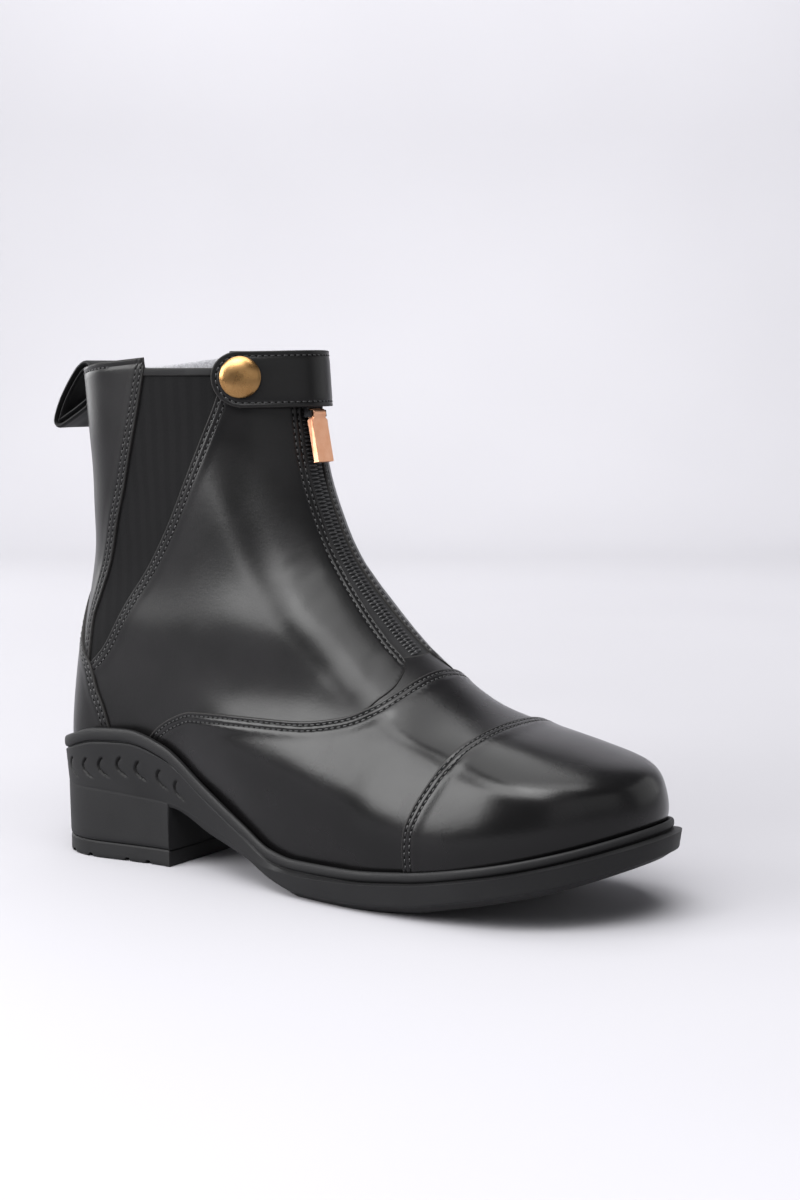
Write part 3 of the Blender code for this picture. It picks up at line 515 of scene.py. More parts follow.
# %% Seams on the side view
VAMP_SEAM = np.array([(20.0, 50.0), (25.3, 55.3), (35.4, 61.4), (47.3, 65.3), (68.0, 66.1), (97.8, 66.4),
                      (115.6, 68.8), (128.0, 73.6), (134.6, 80.0), (137.2, 85.0), (138.5, 96.0)])
CAP_SEAM = np.array([(149.8, 5.0), (150.2, 18.4), (151.0, 31.4), (153.7, 40.5), (158.3, 50.0),
                     (164.0, 59.5), (168.0, 64.8), (171.0, 69.0), (175.0, 80.0)])
GORE_FRONT = np.array([(-8.6, 79.6), (-2.7, 85.0), (12.7, 107.7), (23.5, 121.5), (35.2, 139.2),
                       (43.2, 155.3), (50.1, 172.0), (54.6, 184.4), (58.0, 198.0), (61.0, 212.0)])
GORE_BACK = np.array([(-10.2, 80.6), (-8.6, 95.0), (-3.6, 107.8), (1.6, 120.5), (7.0, 138.3),
                      (13.5, 157.0), (21.0, 180.8), (27.0, 201.6), (29.0, 208.0)])
COUNTER_EDGE = np.array([(3.0, 38.0), (1.6, 52.0), (-1.0, 61.4), (-4.5, 68.7), (-8.6, 78.6), (-13.2, 83.2),
                         (-17.8, 91.0), (-20.0, 103.0), (-21.4, 116.0), (-23.4, 121.0)])
NOSE_EDGE = np.array([(121.0, 64.0), (125.5, 71.5), (128.6, 75.6), (130.6, 78.0), (131.4, 80.2),
                      (131.2, 82.2), (130.5, 84.4), (129.2, 86.4), (127.5, 88.3), (125.6, 89.9),
                      (124.0, 91.2)])
ZIP_FOOT, ZIP_HEAD = 88.4, 203.0
ZIP_EDGE_FROM, ZIP_SEWN_FROM = 92.6, 88.0
ZIP_WIDTHS = np.array([(91.0, 8.9), (100.0, 8.2), (112.0, 7.0), (126.0, 5.9), (140.0, 5.3), (210.0, 5.3)])
OVER_COLLAR = 1.06             # a level past the collar, where panels that reach it are cut off
STRAP_TOP_EDGE = np.array([(-60.0, 196.2), (-14.0, 197.2), (2.0, 199.4), (27.0, 201.6), (60.0, 204.0)])
GORE_TOP_EDGE = 197.0
QUARTER_EDGE = FRONT_TOP - 0.4
print("points of the vamp seam:", len(VAMP_SEAM))

# %% [markdown]
# To lay such a line on the form, each of its points is looked up, and the seam is then known by its turn
# and its level all along. A line that crosses the middle plane ends there, with closer points towards that
# end, where the form turns quickly. The zip's opening is drawn from its width instead.

# %% Seams on the last
def zip_half(height):
    """Half width of the zip's opening, which grows a little towards its foot."""
    return smooth(ZIP_WIDTHS[:, 0], ZIP_WIDTHS[:, 1], np.clip(height, ZIP_WIDTHS[0, 0], ZIP_WIDTHS[-1, 0]))


def turn_where(level, across):
    """Turn on the outer side, near the front, at which the form is this far from the middle plane."""
    low, high = np.full(np.shape(level), 0.35), np.full(np.shape(level), 0.5)
    return halve(low, high, lambda turn: -last(turn, level)[..., 1] <= across)


def side_place(x, z):
    """Turn and level of side-view points on the outer side."""
    turn = halve(np.zeros(len(x)), np.full(len(x), 0.5),
                 lambda turn: last(turn, level_where(turn, z))[..., 0] > x, steps=28)
    return turn, level_where(turn, z)


def seam_line(points, count=150):
    """A seam's smooth run over the outer side: turn and level along it. It stops at the middle plane."""
    run = np.concatenate([[0], np.cumsum(np.hypot(*np.diff(points, axis=0).T))])

    def at(u):
        return smooth(run, points[:, 0], u), smooth(run, points[:, 1], u)

    fine = np.linspace(0, run[-1], 1500)
    x, z = at(fine)
    front, back = np.full_like(z, 0.5), np.zeros_like(z)
    on = (x < last(front, level_where(front, z))[:, 0]) & (x > last(back, level_where(back, z))[:, 0])
    first, final = np.flatnonzero(on)[[0, -1]]
    share = np.linspace(0, 1, count)
    if final < len(fine) - 1:
        share = 1 - (1 - share) ** 2
    u = fine[first] + share * (fine[final] - fine[first])
    turn, level = side_place(*at(u))
    if final < len(fine) - 1:
        turn[-1] = 0.5 if x[final] > 50 else 0.0
    return turn, level


LINES = {name: seam_line(points) for name, points in (
    ("vamp", VAMP_SEAM), ("cap", CAP_SEAM), ("gore_front", GORE_FRONT), ("gore_back", GORE_BACK),
    ("counter", COUNTER_EDGE), ("nose", NOSE_EDGE))}
ZIP_LEVELS = np.linspace(level_where(np.array([0.5]), ZIP_EDGE_FROM)[0], OVER_COLLAR, 120)
ZIP_TURNS = turn_where(ZIP_LEVELS, zip_half(last(0.5, ZIP_LEVELS)[:, 2]))
LINES["opening"] = tuple(np.concatenate(pair) for pair in zip(LINES["nose"], (ZIP_TURNS, ZIP_LEVELS)))
SEWN_FROM = np.flatnonzero(last(*LINES["opening"])[:, 2] > ZIP_SEWN_FROM)[0]
LINES["zip"] = tuple(part[SEWN_FROM:] for part in LINES["opening"])
for name, line in LINES.items():
    print(name, "length", round(float(run_along(last(*line))[-1])), "mm")

# %% [markdown]
# Everything beside a seam depends on how far it is from it: where a panel ends, where its edge rolls and
# where stitches dent it. The distance could be painted as weights, but measured from the line it has no
# steps. Its sign says on which side of the seam a point lies.

# %% Distance to a seam
def reach(line, turn, level):
    """Signed distance from points of the form to a seam, positive to the left of its run."""
    path = last(*LINES[line])
    outward = normal(*LINES[line])
    fold = np.abs((turn + 0.5) % 1 - 0.5)
    place = last(fold, level)
    nearest = np.concatenate([((path ** 2).sum(1) - 2 * part @ path.T).argmin(1)
                              for part in np.array_split(place, len(place) // 20000 + 1)])
    best = np.full(len(place), np.inf)
    for first in (nearest - 1, nearest):
        first = np.clip(first, 0, len(path) - 2)
        start = path[first]
        run = path[first + 1] - start
        off = place - start
        along = np.clip((off * run).sum(-1) / np.maximum((run * run).sum(-1), 1e-9), 0, 1)
        size = np.linalg.norm(off - along[:, None] * run, axis=-1)
        left = (np.cross(run, off) * outward[first]).sum(-1)
        signed = np.where(left < 0, -size, size)
        best = np.where(np.abs(signed) < np.abs(best), signed, best)
    return best


ANKLE = (np.array([0.25]), np.array([0.6]))
print("vamp seam to the ankle:", round(float(reach("vamp", *ANKLE)[0])), "mm")

# %% [markdown]
# A leather panel is cut from a sheet and its edge is skived and rolled. A panel here starts as a fine sheet
# of triangles over part of the form. The sheet is cut along the distance lines, first at its edges, then
# beside them, so that the roll of an edge and the dent of a stitch row have points where they bend.

# %% Cutting sheets
LOCKED, FIRST_FIELD = 2, 3      # columns of a sheet after turn and level
SNAP_SHARE = 0.25               # a point this near a cut, as a share of its side, moves onto it


def sheet(turns, levels):
    """Rows of turn, level and a lock mark, with their triangles."""
    turn, level = np.meshgrid(turns, levels)
    rows = np.stack([turn.ravel(), level.ravel(), np.zeros(turn.size)], -1)
    quads = grid_faces(len(levels), len(turns))
    return rows, np.concatenate([quads[:, [0, 1, 2]], quads[:, [0, 2, 3]]])


def sides_of(faces):
    """The three sides of every triangle."""
    return np.concatenate([faces[:, [0, 1]], faces[:, [1, 2]], faces[:, [2, 0]]])


def cut_sheet(rows, faces, column, at, both=False):
    """Split the triangles where a column passes a value; keep the higher side, or both sides."""
    rows = rows.copy()
    value = rows[:, column] - at
    edges = np.unique(np.sort(sides_of(faces), axis=1), axis=0)
    edges = edges[value[edges[:, 0]] * value[edges[:, 1]] < 0]
    share = value[edges[:, 0]] / (value[edges[:, 0]] - value[edges[:, 1]])
    near = np.concatenate([edges, edges[:, ::-1]])
    share = np.concatenate([share, 1 - share])
    keep = (share < SNAP_SHARE) & (rows[near[:, 0], LOCKED] == 0)
    near, share = near[keep], share[keep]
    order = np.argsort(-share)
    near, share = near[order], share[order]
    moved = rows[near[:, 0]] + share[:, None] * (rows[near[:, 1]] - rows[near[:, 0]])
    moved[:, LOCKED] = 1
    rows[near[:, 0]] = moved
    value = rows[:, column] - at
    value[near[:, 0]] = 0

    sign = np.sign(value)
    corner = sign[faces]
    kept = [faces[(corner.min(1) >= 0) & (corner.max(1) > 0)]]
    if both:
        kept.append(faces[(corner.max(1) <= 0)])
    mixed = faces[(corner.min(1) < 0) & (corner.max(1) > 0)]
    ends = sides_of(mixed)
    crossed = sign[ends[:, 0]] * sign[ends[:, 1]] < 0
    pairs, inverse = np.unique(np.sort(ends[crossed], axis=1), axis=0, return_inverse=True)
    first, second = value[pairs[:, 0]], value[pairs[:, 1]]
    start, end = rows[pairs[:, 0]], rows[pairs[:, 1]]
    added = start + (first / (first - second))[:, None] * (end - start)
    added[:, LOCKED] = 1
    middle = np.full(len(ends), -1)
    middle[crossed] = len(rows) + inverse.ravel()
    middle = middle.reshape(3, -1).T
    for side in ((1, -1) if both else (1,)):
        s = sign[mixed] * side
        for k in range(3):
            a, b, c = mixed[:, k], mixed[:, (k + 1) % 3], mixed[:, (k + 2) % 3]
            sa, sb, sc = s[:, k], s[:, (k + 1) % 3], s[:, (k + 2) % 3]
            ab, ca = middle[:, k], middle[:, (k + 2) % 3]
            one = (sa > 0) & (sb < 0) & (sc < 0)
            kept.append(np.stack([a, ab, ca], -1)[one])
            two = (sa < 0) & (sb > 0) & (sc > 0)
            kept.append(np.stack([ab, b, c], -1)[two])
            kept.append(np.stack([ab, c, ca], -1)[two])
            kept.append(np.stack([a, b, ca], -1)[(sa > 0) & (sb == 0) & (sc < 0)])
            kept.append(np.stack([a, ab, c], -1)[(sa > 0) & (sb < 0) & (sc == 0)])
    return np.concatenate([rows, added]), np.concatenate(kept)


print("sheet cutter ready")

# %% [markdown]
# After a cut, the points that no triangle uses are dropped. To become a solid, a sheet is laid twice and
# its rim gets walls. The rim could be marked while cutting, but it is easy to find: its sides belong to one
# triangle only.

# %% Closing sheets
def tidy_sheet(rows, faces):
    """Drop the points that no triangle uses."""
    used, index = np.unique(faces, return_inverse=True)
    return rows[used], index.reshape(-1, 3)


def closed_faces(faces, count):
    """Upper faces, lower faces and the walls between them, for two layers of the same sheet."""
    ends = sides_of(faces)
    key = np.sort(ends, axis=1)
    _, index, uses = np.unique(key, axis=0, return_index=True, return_counts=True)
    rim = ends[index[uses == 1]]
    walls = np.stack([rim[:, 1], rim[:, 0], rim[:, 0] + count, rim[:, 1] + count], -1)
    return [faces, faces[:, ::-1] + count, walls]


print("sheets can be closed")

# %% [markdown]
# Each panel lies on the last at its own height: the quarters lowest, the vamp and the heel counter over
# them, the toe cap over the vamp. Where a panel's edge lies over a neighbour it stands a little higher and
# rolls off; where it goes under one it simply runs on for a few millimetres out of sight.

# %% Heights and edges of panels
QUARTER_TOP, GORE_TOP, PATCH_TOP, VAMP_TOP, COUNTER_TOP, CAP_TOP = 1.5, 0.8, 1.0, 2.1, 2.1, 2.8
EDGE_ROUND = 0.45
EDGE_LINES = [0.07, 0.2, EDGE_ROUND]  # where the sheet is cut, so that the roll of an edge has points
RIDGE, RIDGE_FLAT, RIDGE_END = 0.45, 2.5, 8.0  # rise of a panel over its neighbour, and how far it goes
STITCH_DENT, STITCH_DENT_HALF = 0.32, 0.5


def edge_height(kind, away, stitch_rows):
    """What an edge, or stitch rows beside a line, adds to a panel's upper face at a distance from it."""
    height = np.zeros_like(away)
    if kind in ("over", "rim"):
        inside = np.clip(away, 0, EDGE_ROUND)
        height -= EDGE_ROUND - np.sqrt(EDGE_ROUND ** 2 - (EDGE_ROUND - inside) ** 2)
    if kind == "over":
        height += RIDGE * (1 - step_between(away, RIDGE_FLAT, RIDGE_END))
    for row in stitch_rows:
        height -= STITCH_DENT * np.exp(-((away - row) / STITCH_DENT_HALF) ** 2)
    return height


print("leather stands up to", CAP_TOP, "mm above the lining")

# %% [markdown]
# A panel is a closed solid: the cut sheet twice, at its upper and its lower height, with walls round the
# rim. A solidify modifier would keep one thickness, but real leather is skived thin under a neighbour, so
# both heights are worked out. Rolled edges and walls take the edge paint.

# %% Making a panel
UNDER = 1.4                    # how far a hidden edge runs on
LAP = 2.2                      # how far the underside stays raised over a neighbour
SEAT = 0.12
CLEAR = 0.06
TURN_STEP, LEVEL_STEP = 1 / 530, 1 / 156
SPARE = 4                      # how much sheet is kept past the edges before they are cut


def panel(name, turns, levels, edges, top, finish, stands_for=(), base=None, seat=SEAT):
    """A closed panel. An edge is a distance function, a kind, the neighbour's height and stitch rows."""
    rows, faces = sheet(np.arange(*turns, TURN_STEP), np.arange(*levels, LEVEL_STEP))
    fields = [field(rows[:, 0], rows[:, 1]) for field, *_ in edges]
    inside = np.min([f for f, edge in zip(fields, edges) if edge[1] != "sewn"], axis=0) > -SPARE
    faces = faces[inside[faces].any(1)]
    rows, faces = tidy_sheet(np.column_stack([rows, *fields]), faces)
    for i, (_, kind, _, _) in enumerate(edges):
        if kind != "sewn":
            rows, faces = cut_sheet(rows, faces, FIRST_FIELD + i, -UNDER if kind == "under" else 0.0)
            rows, faces = tidy_sheet(rows, faces)
    for i, (_, kind, _, stitch_rows) in enumerate(edges):
        lines = list(EDGE_LINES) if kind in ("over", "rim") else []
        for row in stitch_rows:
            lines += [row - STITCH_DENT_HALF, row, row + STITCH_DENT_HALF]
        for line in sorted(lines):
            rows, faces = cut_sheet(rows, faces, FIRST_FIELD + i, line, both=True)
    rows, faces = tidy_sheet(rows, faces)
    turn, level = rows[:, 0], rows[:, 1]
    upper = np.full(len(rows), top)
    lower = np.full(len(rows), seat)
    for i, (_, kind, below, stitch_rows) in enumerate(edges):
        away = rows[:, FIRST_FIELD + i]
        upper += edge_height(kind, np.maximum(away, 0), stitch_rows)
        if kind == "over":
            raised = 1 - step_between(away, LAP, 2 * LAP)
            lower = np.maximum(lower, seat + (below + CLEAR - seat) * raised)
    lift = 0 if base is None else base(turn, level)
    points = np.concatenate([surface(turn, level, upper + lift), surface(turn, level, lower + lift)])
    closed = closed_faces(faces, len(rows))
    rolled = np.zeros(len(faces), bool)
    for i, (_, kind, _, _) in enumerate(edges):
        if kind in ("over", "rim"):
            rolled |= rows[faces, FIRST_FIELD + i].max(1) < EDGE_ROUND + 0.01
    marks = [rolled.astype(int), np.zeros(len(closed[1])), np.ones(len(closed[2]))]
    return piece(name, points, closed, [finish, CUT_EDGE], marks, stands_for)


print("sheet steps:", round(1 / TURN_STEP), "round the boot,", round(1 / LEVEL_STEP), "up")

# %% [markdown]
# The leather ends at the sole's bead, so the sole's sizes come first. They are a table of stations along
# the boot, read as smooth curves, with the same values as the solid. Drawn by hand as a mesh, the bead and
# the panels would never meet so closely.

# %% Sizes of the sole
SOLE_COLUMNS = ("x", "bead_top", "bead_low", "step", "foot",
                "bead_out", "groove_out", "step_out", "foot_out", "tread")
SOLE_STATIONS = np.array([
    (-40, 44.5, 40.0, 29.5, 24.4, 5.8, 5.3, 4.2, 3.8, 0.0),
    (-25, 46.8, 42.2, 29.5, 24.4, 5.8, 5.3, 4.2, 3.8, 0.0),
    (-4, 53.8, 48.8, 29.0, 24.4, 5.6, 5.0, 3.4, 2.8, 0.0),
    (12, 54.6, 49.6, 28.0, 24.4, 5.4, 4.6, 2.0, 1.2, 0.0),
    (31, 50.3, 45.3, 26.5, 24.4, 5.0, 4.0, 0.4, -0.4, 0.0),
    (53, 36.8, 32.0, 21.0, 17.0, 4.6, 3.8, 1.6, 0.6, 0.4),
    (75, 24.2, 20.0, 14.0, 10.9, 4.6, 4.2, 3.6, 2.2, 1.2),
    (88, 17.0, 13.0, 10.0, 5.2, 4.6, 4.4, 4.8, 3.4, 2.2),
    (100, 15.0, 11.0, 9.6, 2.8, 4.6, 4.4, 5.8, 4.4, 2.8),
    (124, 15.2, 11.2, 10.6, 2.8, 4.6, 4.4, 6.4, 5.0, 2.8),
    (150, 17.6, 13.8, 13.2, 5.0, 4.6, 4.4, 6.6, 5.2, 2.8),
    (176, 22.4, 18.8, 18.2, 10.6, 4.8, 4.6, 6.8, 5.4, 2.8),
    (205, 29.8, 26.4, 25.8, 18.2, 5.0, 4.8, 7.4, 6.2, 2.8),
    (228, 37.2, 34.0, 33.4, 27.0, 5.6, 5.4, 8.8, 8.0, 2.8),
])


def sole(name, x):
    """A column of the sole table, read at any station."""
    inside = np.clip(x, SOLE_STATIONS[0, 0], SOLE_STATIONS[-1, 0])
    return smooth(SOLE_STATIONS[:, 0], SOLE_STATIONS[:, SOLE_COLUMNS.index(name)], inside)


print("sole stations:", len(SOLE_STATIONS))

# %% [markdown]
# The edges of a panel are distances to a seam, to the sole's bead or to a height. They could be masks, but
# as functions they can be asked anywhere, and rows of stitches use them again later.

# %% Kinds of edges
FOOT_DEPTH = 2.0
BINDING = 2.6                  # width of the tape over the top edge of a gore
BINDING_RISE, BINDING_THICK = 0.3, 0.2
PATCH_RISE = 0.6               # how far the throat patch goes up behind the zip's foot
CAP_ROWS, VAMP_ROWS, ZIP_ROWS, COUNTER_ROWS = (1.3, 3.4), (1.5, 3.6), (1.3, 3.6), (1.4, 3.4)


def seam_edge(line, sign):
    return lambda turn, level: sign * reach(line, turn, level)


def above_edge(turn, level):
    """Height over the line where the leather goes down behind the sole's bead."""
    place = last(turn, level)
    return place[:, 2] - sole("bead_top", place[:, 0]) + FOOT_DEPTH


def below_height(line):
    def field(turn, level):
        place = last(turn, level)
        return (np.interp(place[:, 0], line[:, 0], line[:, 1]) if np.ndim(line) else line) - place[:, 2]
    return field


def above_height(height):
    return lambda turn, level: last(turn, level)[:, 2] - height


GORE_ROWS, STRAP_ROW = (1.5, 3.7), 2.2
print("stitch rows beside the vamp seam:", *VAMP_ROWS, "mm")

# %% [markdown]
# Now the panels are cut, as a maker clicks them out of a hide, and every panel is one call. The inner side
# mirrors the outer one in turn, so quarters and gores come from a loop.

# %% Leather and elastic panels
panel("toe_cap_leather", (0.27, 0.73), (-0.02, 0.40),
      [(seam_edge("cap", -1), "over", VAMP_TOP, CAP_ROWS), (above_edge, "foot", 0, ())],
      CAP_TOP, POLISHED, ["toe_cap"])
panel("vamp_leather", (0.13, 0.87), (-0.06, 0.53),
      [(seam_edge("vamp", -1), "over", QUARTER_TOP, VAMP_ROWS), (seam_edge("cap", 1), "under", 0, ()),
       (above_edge, "foot", 0, ())],
      VAMP_TOP, POLISHED, ["vamp"])
for side, turns in (("outer", (0.03, 0.5)), ("inner", (0.5, 0.97))):
    panel("quarter_leather_" + side, turns, (0.02, OVER_COLLAR),
          [(seam_edge("opening", 1), "rim", 0, ()), (seam_edge("zip", 1), "sewn", 0, ZIP_ROWS),
           (seam_edge("gore_front", -1), "over", GORE_TOP, GORE_ROWS),
           (seam_edge("vamp", 1), "under", 0, ()), (seam_edge("counter", -1), "under", 0, ()),
           (below_height(QUARTER_EDGE), "rim", 0, ()), (above_edge, "foot", 0, ())],
          QUARTER_TOP, LEATHER, ["quarter_" + side])
    panel("gore_elastic_" + side, turns, (0.28, OVER_COLLAR),
          [(seam_edge("gore_front", 1), "under", 0, ()), (seam_edge("gore_back", -1), "under", 0, ()),
           (seam_edge("counter", -1), "under", 0, ()), (below_height(GORE_TOP_EDGE), "rim", 0, ())],
          GORE_TOP, ELASTIC, ["gore_" + side])
    panel("gore_binding_" + side, turns, (0.9, OVER_COLLAR),
          [(seam_edge("gore_front", 1), "foot", 0, ()), (seam_edge("gore_back", -1), "foot", 0, ()),
           (above_height(GORE_TOP_EDGE - BINDING), "over", GORE_TOP, ()),
           (below_height(GORE_TOP_EDGE + BINDING_RISE), "rim", 0, ())],
          GORE_TOP + BINDING_THICK, WEBBING, seat=GORE_TOP + CLEAR)
panel("back_strap_leather", (-0.25, 0.25), (0.22, 1.08),
      [(seam_edge("gore_back", 1), "over", GORE_TOP, GORE_ROWS), (seam_edge("counter", -1), "under", 0, ()),
       (below_height(STRAP_TOP_EDGE), "rim", 0, (STRAP_ROW,))],
      QUARTER_TOP, LEATHER, ["back_strap"])
panel("heel_counter_leather", (-0.16, 0.16), (0.0, 0.60),
      [(seam_edge("counter", 1), "over", QUARTER_TOP, COUNTER_ROWS), (above_edge, "foot", 0, ())],
      COUNTER_TOP, LEATHER, ["heel_counter"])
panel("throat_leather", (0.33, 0.67), (0.32, 0.62),
      [(seam_edge("opening", -1), "under", 0, ()), (seam_edge("vamp", 1), "under", 0, ()),
       (below_height(ZIP_FOOT + PATCH_RISE), "rim", 0, ())],
      PATCH_TOP, LEATHER, ["throat_patch"])

# %% [markdown]
# The lining is the whole inner shell of the boot. It carries the panels, shows as a pale wedge over the
# gores and is what one sees from above. A solidify modifier would give its thickness, but the rounded
# collar edge is easier to draw as a closed ring of rows that goes up outside, over the edge and down inside.

# %% Lining shell
WALL = 1.8
COLLAR_LINE = np.array([(0.00, BACK_TOP - 0.6), (0.35, 197.0), (0.55, 198.2), (0.78, 201.0), (0.90, 203.2),
                        (1.00, FRONT_TOP - 0.4)])
COLLAR_TUCK, COLLAR_RISE = 0.006, 0.005  # where the collar's round starts and how far it rises, in levels


def make_lining_shell(columns=220, rows=64, round_steps=6):
    turn = (np.arange(columns) + 0.5) / columns
    share = (1 - np.cos(2 * np.pi * turn)) / 2
    collar = level_where(turn, smooth(COLLAR_LINE[:, 0], COLLAR_LINE[:, 1], share))
    half = WALL / 2
    down = np.linspace(0, 1, rows) * (collar - COLLAR_TUCK)[:, None]
    outer = [(down[:, i], 0.0) for i in range(rows)]
    over = [(collar - COLLAR_TUCK + COLLAR_RISE * np.sin(a), -half + half * np.cos(a))
            for a in np.linspace(0, np.pi, round_steps + 2)[1:-1]]
    inner = [(down[:, i], -WALL) for i in range(rows)][::-1]
    rings = outer + over + inner
    points = np.concatenate([surface(turn, level, np.full(columns, height)) for level, height in rings])
    piece("lining_shell", points, grid_faces(len(rings), columns, True, True), LINING,
          stands_for=["upper"], sharp=60)


make_lining_shell()

# %% [markdown]
# The insole board closes the foot space. Like the sole and the heel's top piece it is a stack of rings. Its
# ends could be closed with one big face each, but strips across shade better and can carry a tread.

# %% Insole
INSOLE_THICK, INSOLE_INSET = 3.0, 0.6
INSOLE_ROUND_IN, INSOLE_ROUND_DOWN = 0.6, 0.5


def capped(rings, across=12, relief=None):
    """Faces and points of a solid from rings, top to bottom, with strips across to close both ends."""
    count = rings.shape[1]
    points = [rings.reshape(-1, 3)]
    faces = [grid_faces(len(rings), count, True)[:, ::-1]]
    total = rings.shape[0] * count
    share = np.linspace(0, 1, across + 1)[1:-1, None]
    half = count // 2
    for number, upward in ((0, True), (len(rings) - 1, False)):
        left, right = rings[number, :half], rings[number, ::-1][:half]
        inner = np.stack([left * (1 - s) + right * s for s in share], 1)
        if relief:
            inner = relief(inner, upward)
        points.append(inner.reshape(-1, 3))
        index = total + np.arange(inner.shape[0] * inner.shape[1]).reshape(half, across - 1)
        total += index.size
        ring_index = number * count + np.arange(count)
        index = np.column_stack([ring_index[:half], index, ring_index[::-1][:half]])
        strip = quads_of(index)
        faces.append(strip[:, ::-1] if upward else strip)
    return np.concatenate(points), faces


def make_insole(columns=240):
    turn = (np.arange(columns) + 0.5) / columns
    rim = last(turn, 0 * turn) - normal(turn, 0 * turn) * (WALL + INSOLE_INSET)
    rim[:, 2] = last(turn, 0 * turn)[:, 2]
    inward = unit(normal(turn, 0 * turn) * (1, 1, 0))
    rings = np.stack([rim + (0, 0, INSOLE_THICK) - INSOLE_ROUND_IN * inward,
                      rim + (0, 0, INSOLE_THICK - INSOLE_ROUND_DOWN), rim])
    points, faces = capped(rings)
    piece("insole_board", points, faces, LINING, stands_for=["insole"])


make_insole()

# %% [markdown]
# The sole is one rubber moulding, and round its heel runs a row of moulded crescents. They could be drawn
# as bump, but cuts this deep shade themselves, so the wall really sinks along each line, with a shallow
# dish inside the bend. Their deepest faces also get a near-black rubber, which is painted shade.

# %% Crescents round the heel
# way round from the back and height of each; then the line of one, from its upper end
CRESCENTS = ((37.3, 36.8), (46.3, 37.5), (54.7, 38.5), (63.8, 39.5), (72.9, 38.8), (83.5, 36.5),
             (92.6, 33.2))
CRESCENT_LINE = np.array([(2.9, 3.6), (1.3, 2.6), (0.25, 1.1), (0.0, -0.2), (0.6, -1.7), (2.2, -3.2),
                          (6.0, -5.0)])
CRESCENT_DEPTH, CRESCENT_FLOOR, CRESCENT_HALF = 0.9, 0.1, 0.65
CRESCENT_DISH, CRESCENT_DISH_REACH = 0.12, 2.6
CRESCENT_FULL = (0.9, 5.0)     # points of the line between which a cut has its full depth


def crescent_carve(run, height):
    """Depth of the crescents: a narrow cut along each line and a shallow dish inside its bend."""
    deepest = np.zeros_like(run)
    for centre in CRESCENTS:
        line = CRESCENT_LINE + centre
        place = np.stack([run, height], -1)
        near, side, spot = np.full(run.shape, np.inf), np.zeros_like(run), np.zeros_like(run)
        for number, (start, end) in enumerate(zip(line, line[1:])):
            way = end - start
            off = place - start
            along = np.clip(off @ way / (way @ way), 0, 1)
            away = np.linalg.norm(off - along[:, None] * way, axis=-1)
            turned = way[0] * off[:, 1] - way[1] * off[:, 0]
            side = np.where(away < near, turned, side)
            spot = np.where(away < near, number + along, spot)
            near = np.minimum(near, away)
        cut = CRESCENT_DEPTH * (1 - step_between(near, CRESCENT_FLOOR, CRESCENT_HALF))
        dish = CRESCENT_DISH * (side > 0) * (1 - step_between(near, 0, CRESCENT_DISH_REACH))
        ends = step_between(spot, 0, CRESCENT_FULL[0])
        ends = ends * (1 - step_between(spot, CRESCENT_FULL[1], len(line) - 1))
        deepest = np.maximum(deepest, np.maximum(cut, dish) * ends)
    return deepest


print("crescents on each side:", len(CRESCENTS))

# %% [markdown]
# The moulding has a rounded bead that hugs the leather, a groove under it, a stepped ledge along the
# forefoot, a hollow waist and the heel block. It could be boxed out and subdivided, but one profile, top to
# bottom, whose sizes change along the boot keeps every line flowing. First come the sizes and the columns
# that the profile stands in. They are closer at the crescents, and a pair frames the front of the heel.

# %% Columns of the sole
HEEL_BREAST, HEEL_BREAST_HALF, HEEL_BASE, TREAD_INSET = 30.0, 0.25, 7.0, 4.5
GAP = 0.3
SOLE_HALF_COLUMNS, WALL_ROWS = 400, 44
CLOSER_COLUMNS = 1.6           # how many more columns per turn at the crescents
WALL_OUT, WALL_HEIGHT = 4.3, 36.0  # where the way round the heel is measured
LIP, TOE_LIP, TOE_LIP_FROM, TOE_LIP_TO = 2.45, 0.65, 147, 152
SEAT_RISE, TUCK_LOW, TUCK = 6, 2.8, 2.7
BEAD_INNER, BEAD_INNER_HALF = (175, 140, 115, 90), 0.9
BEAD_OUTER = (70, 52, 36, 20, 0, -20, -38, -56, -74)
BEAD_SQUARE, BEAD_ROUNDER = 0.4, 0.35  # the bead is squarer at the heel and rounder ahead
GROOVE, GROOVE_LESS = 0.85, 0.7  # its depth, and how much less of it at the waist
FOOT_ROUND = 0.025
PAINTED_SHADE_DEPTH = 0.2                   # faces sunk deeper than this get the near-black painted shade
TREAD_PITCH, TREAD_DEPTH, TREAD_SLOPE = 9.0, 1.3, (0.10, 0.18)
TREAD_START, TREAD_END, TREAD_RIM = (90, 96), (206, 212), (0.03, 0.09)


def bead_height(points):
    return sole("bead_top", points[..., 0])


def sole_turns():
    """Column turns, closer along the crescents, with one just behind and one just ahead of the heel."""
    fine = np.linspace(0, 0.5, 2001)
    closer = step_between(fine, 0.05, 0.08) * (1 - step_between(fine, 0.19, 0.23))
    dense = np.cumsum(1 + CLOSER_COLUMNS * closer)
    share = (np.arange(SOLE_HALF_COLUMNS) + 0.5) / SOLE_HALF_COLUMNS
    turn = np.interp(share, (dense - dense[0]) / (dense[-1] - dense[0]), fine)
    for target, after in ((HEEL_BREAST - HEEL_BREAST_HALF, False), (HEEL_BREAST + HEEL_BREAST_HALF, True)):
        low, high = 0.0, 0.5
        for _ in range(40):
            middle = np.array([(low + high) / 2])
            x = last(middle, level_where(middle, bead_height))[0, 0]
            low, high = (low, middle[0]) if x > target else (middle[0], high)
        i = np.searchsorted(turn, low)
        turn[i if after else i - 1] = low
    return np.concatenate([turn, 1 - turn[::-1]])


print("columns round the sole:", 2 * SOLE_HALF_COLUMNS)

# %% [markdown]
# Now the profile itself, row by row: up from the seat, over the bead, down past the groove and along the
# wall, and in to the tread. The bars of the tread are cut into the strips that close it underneath.

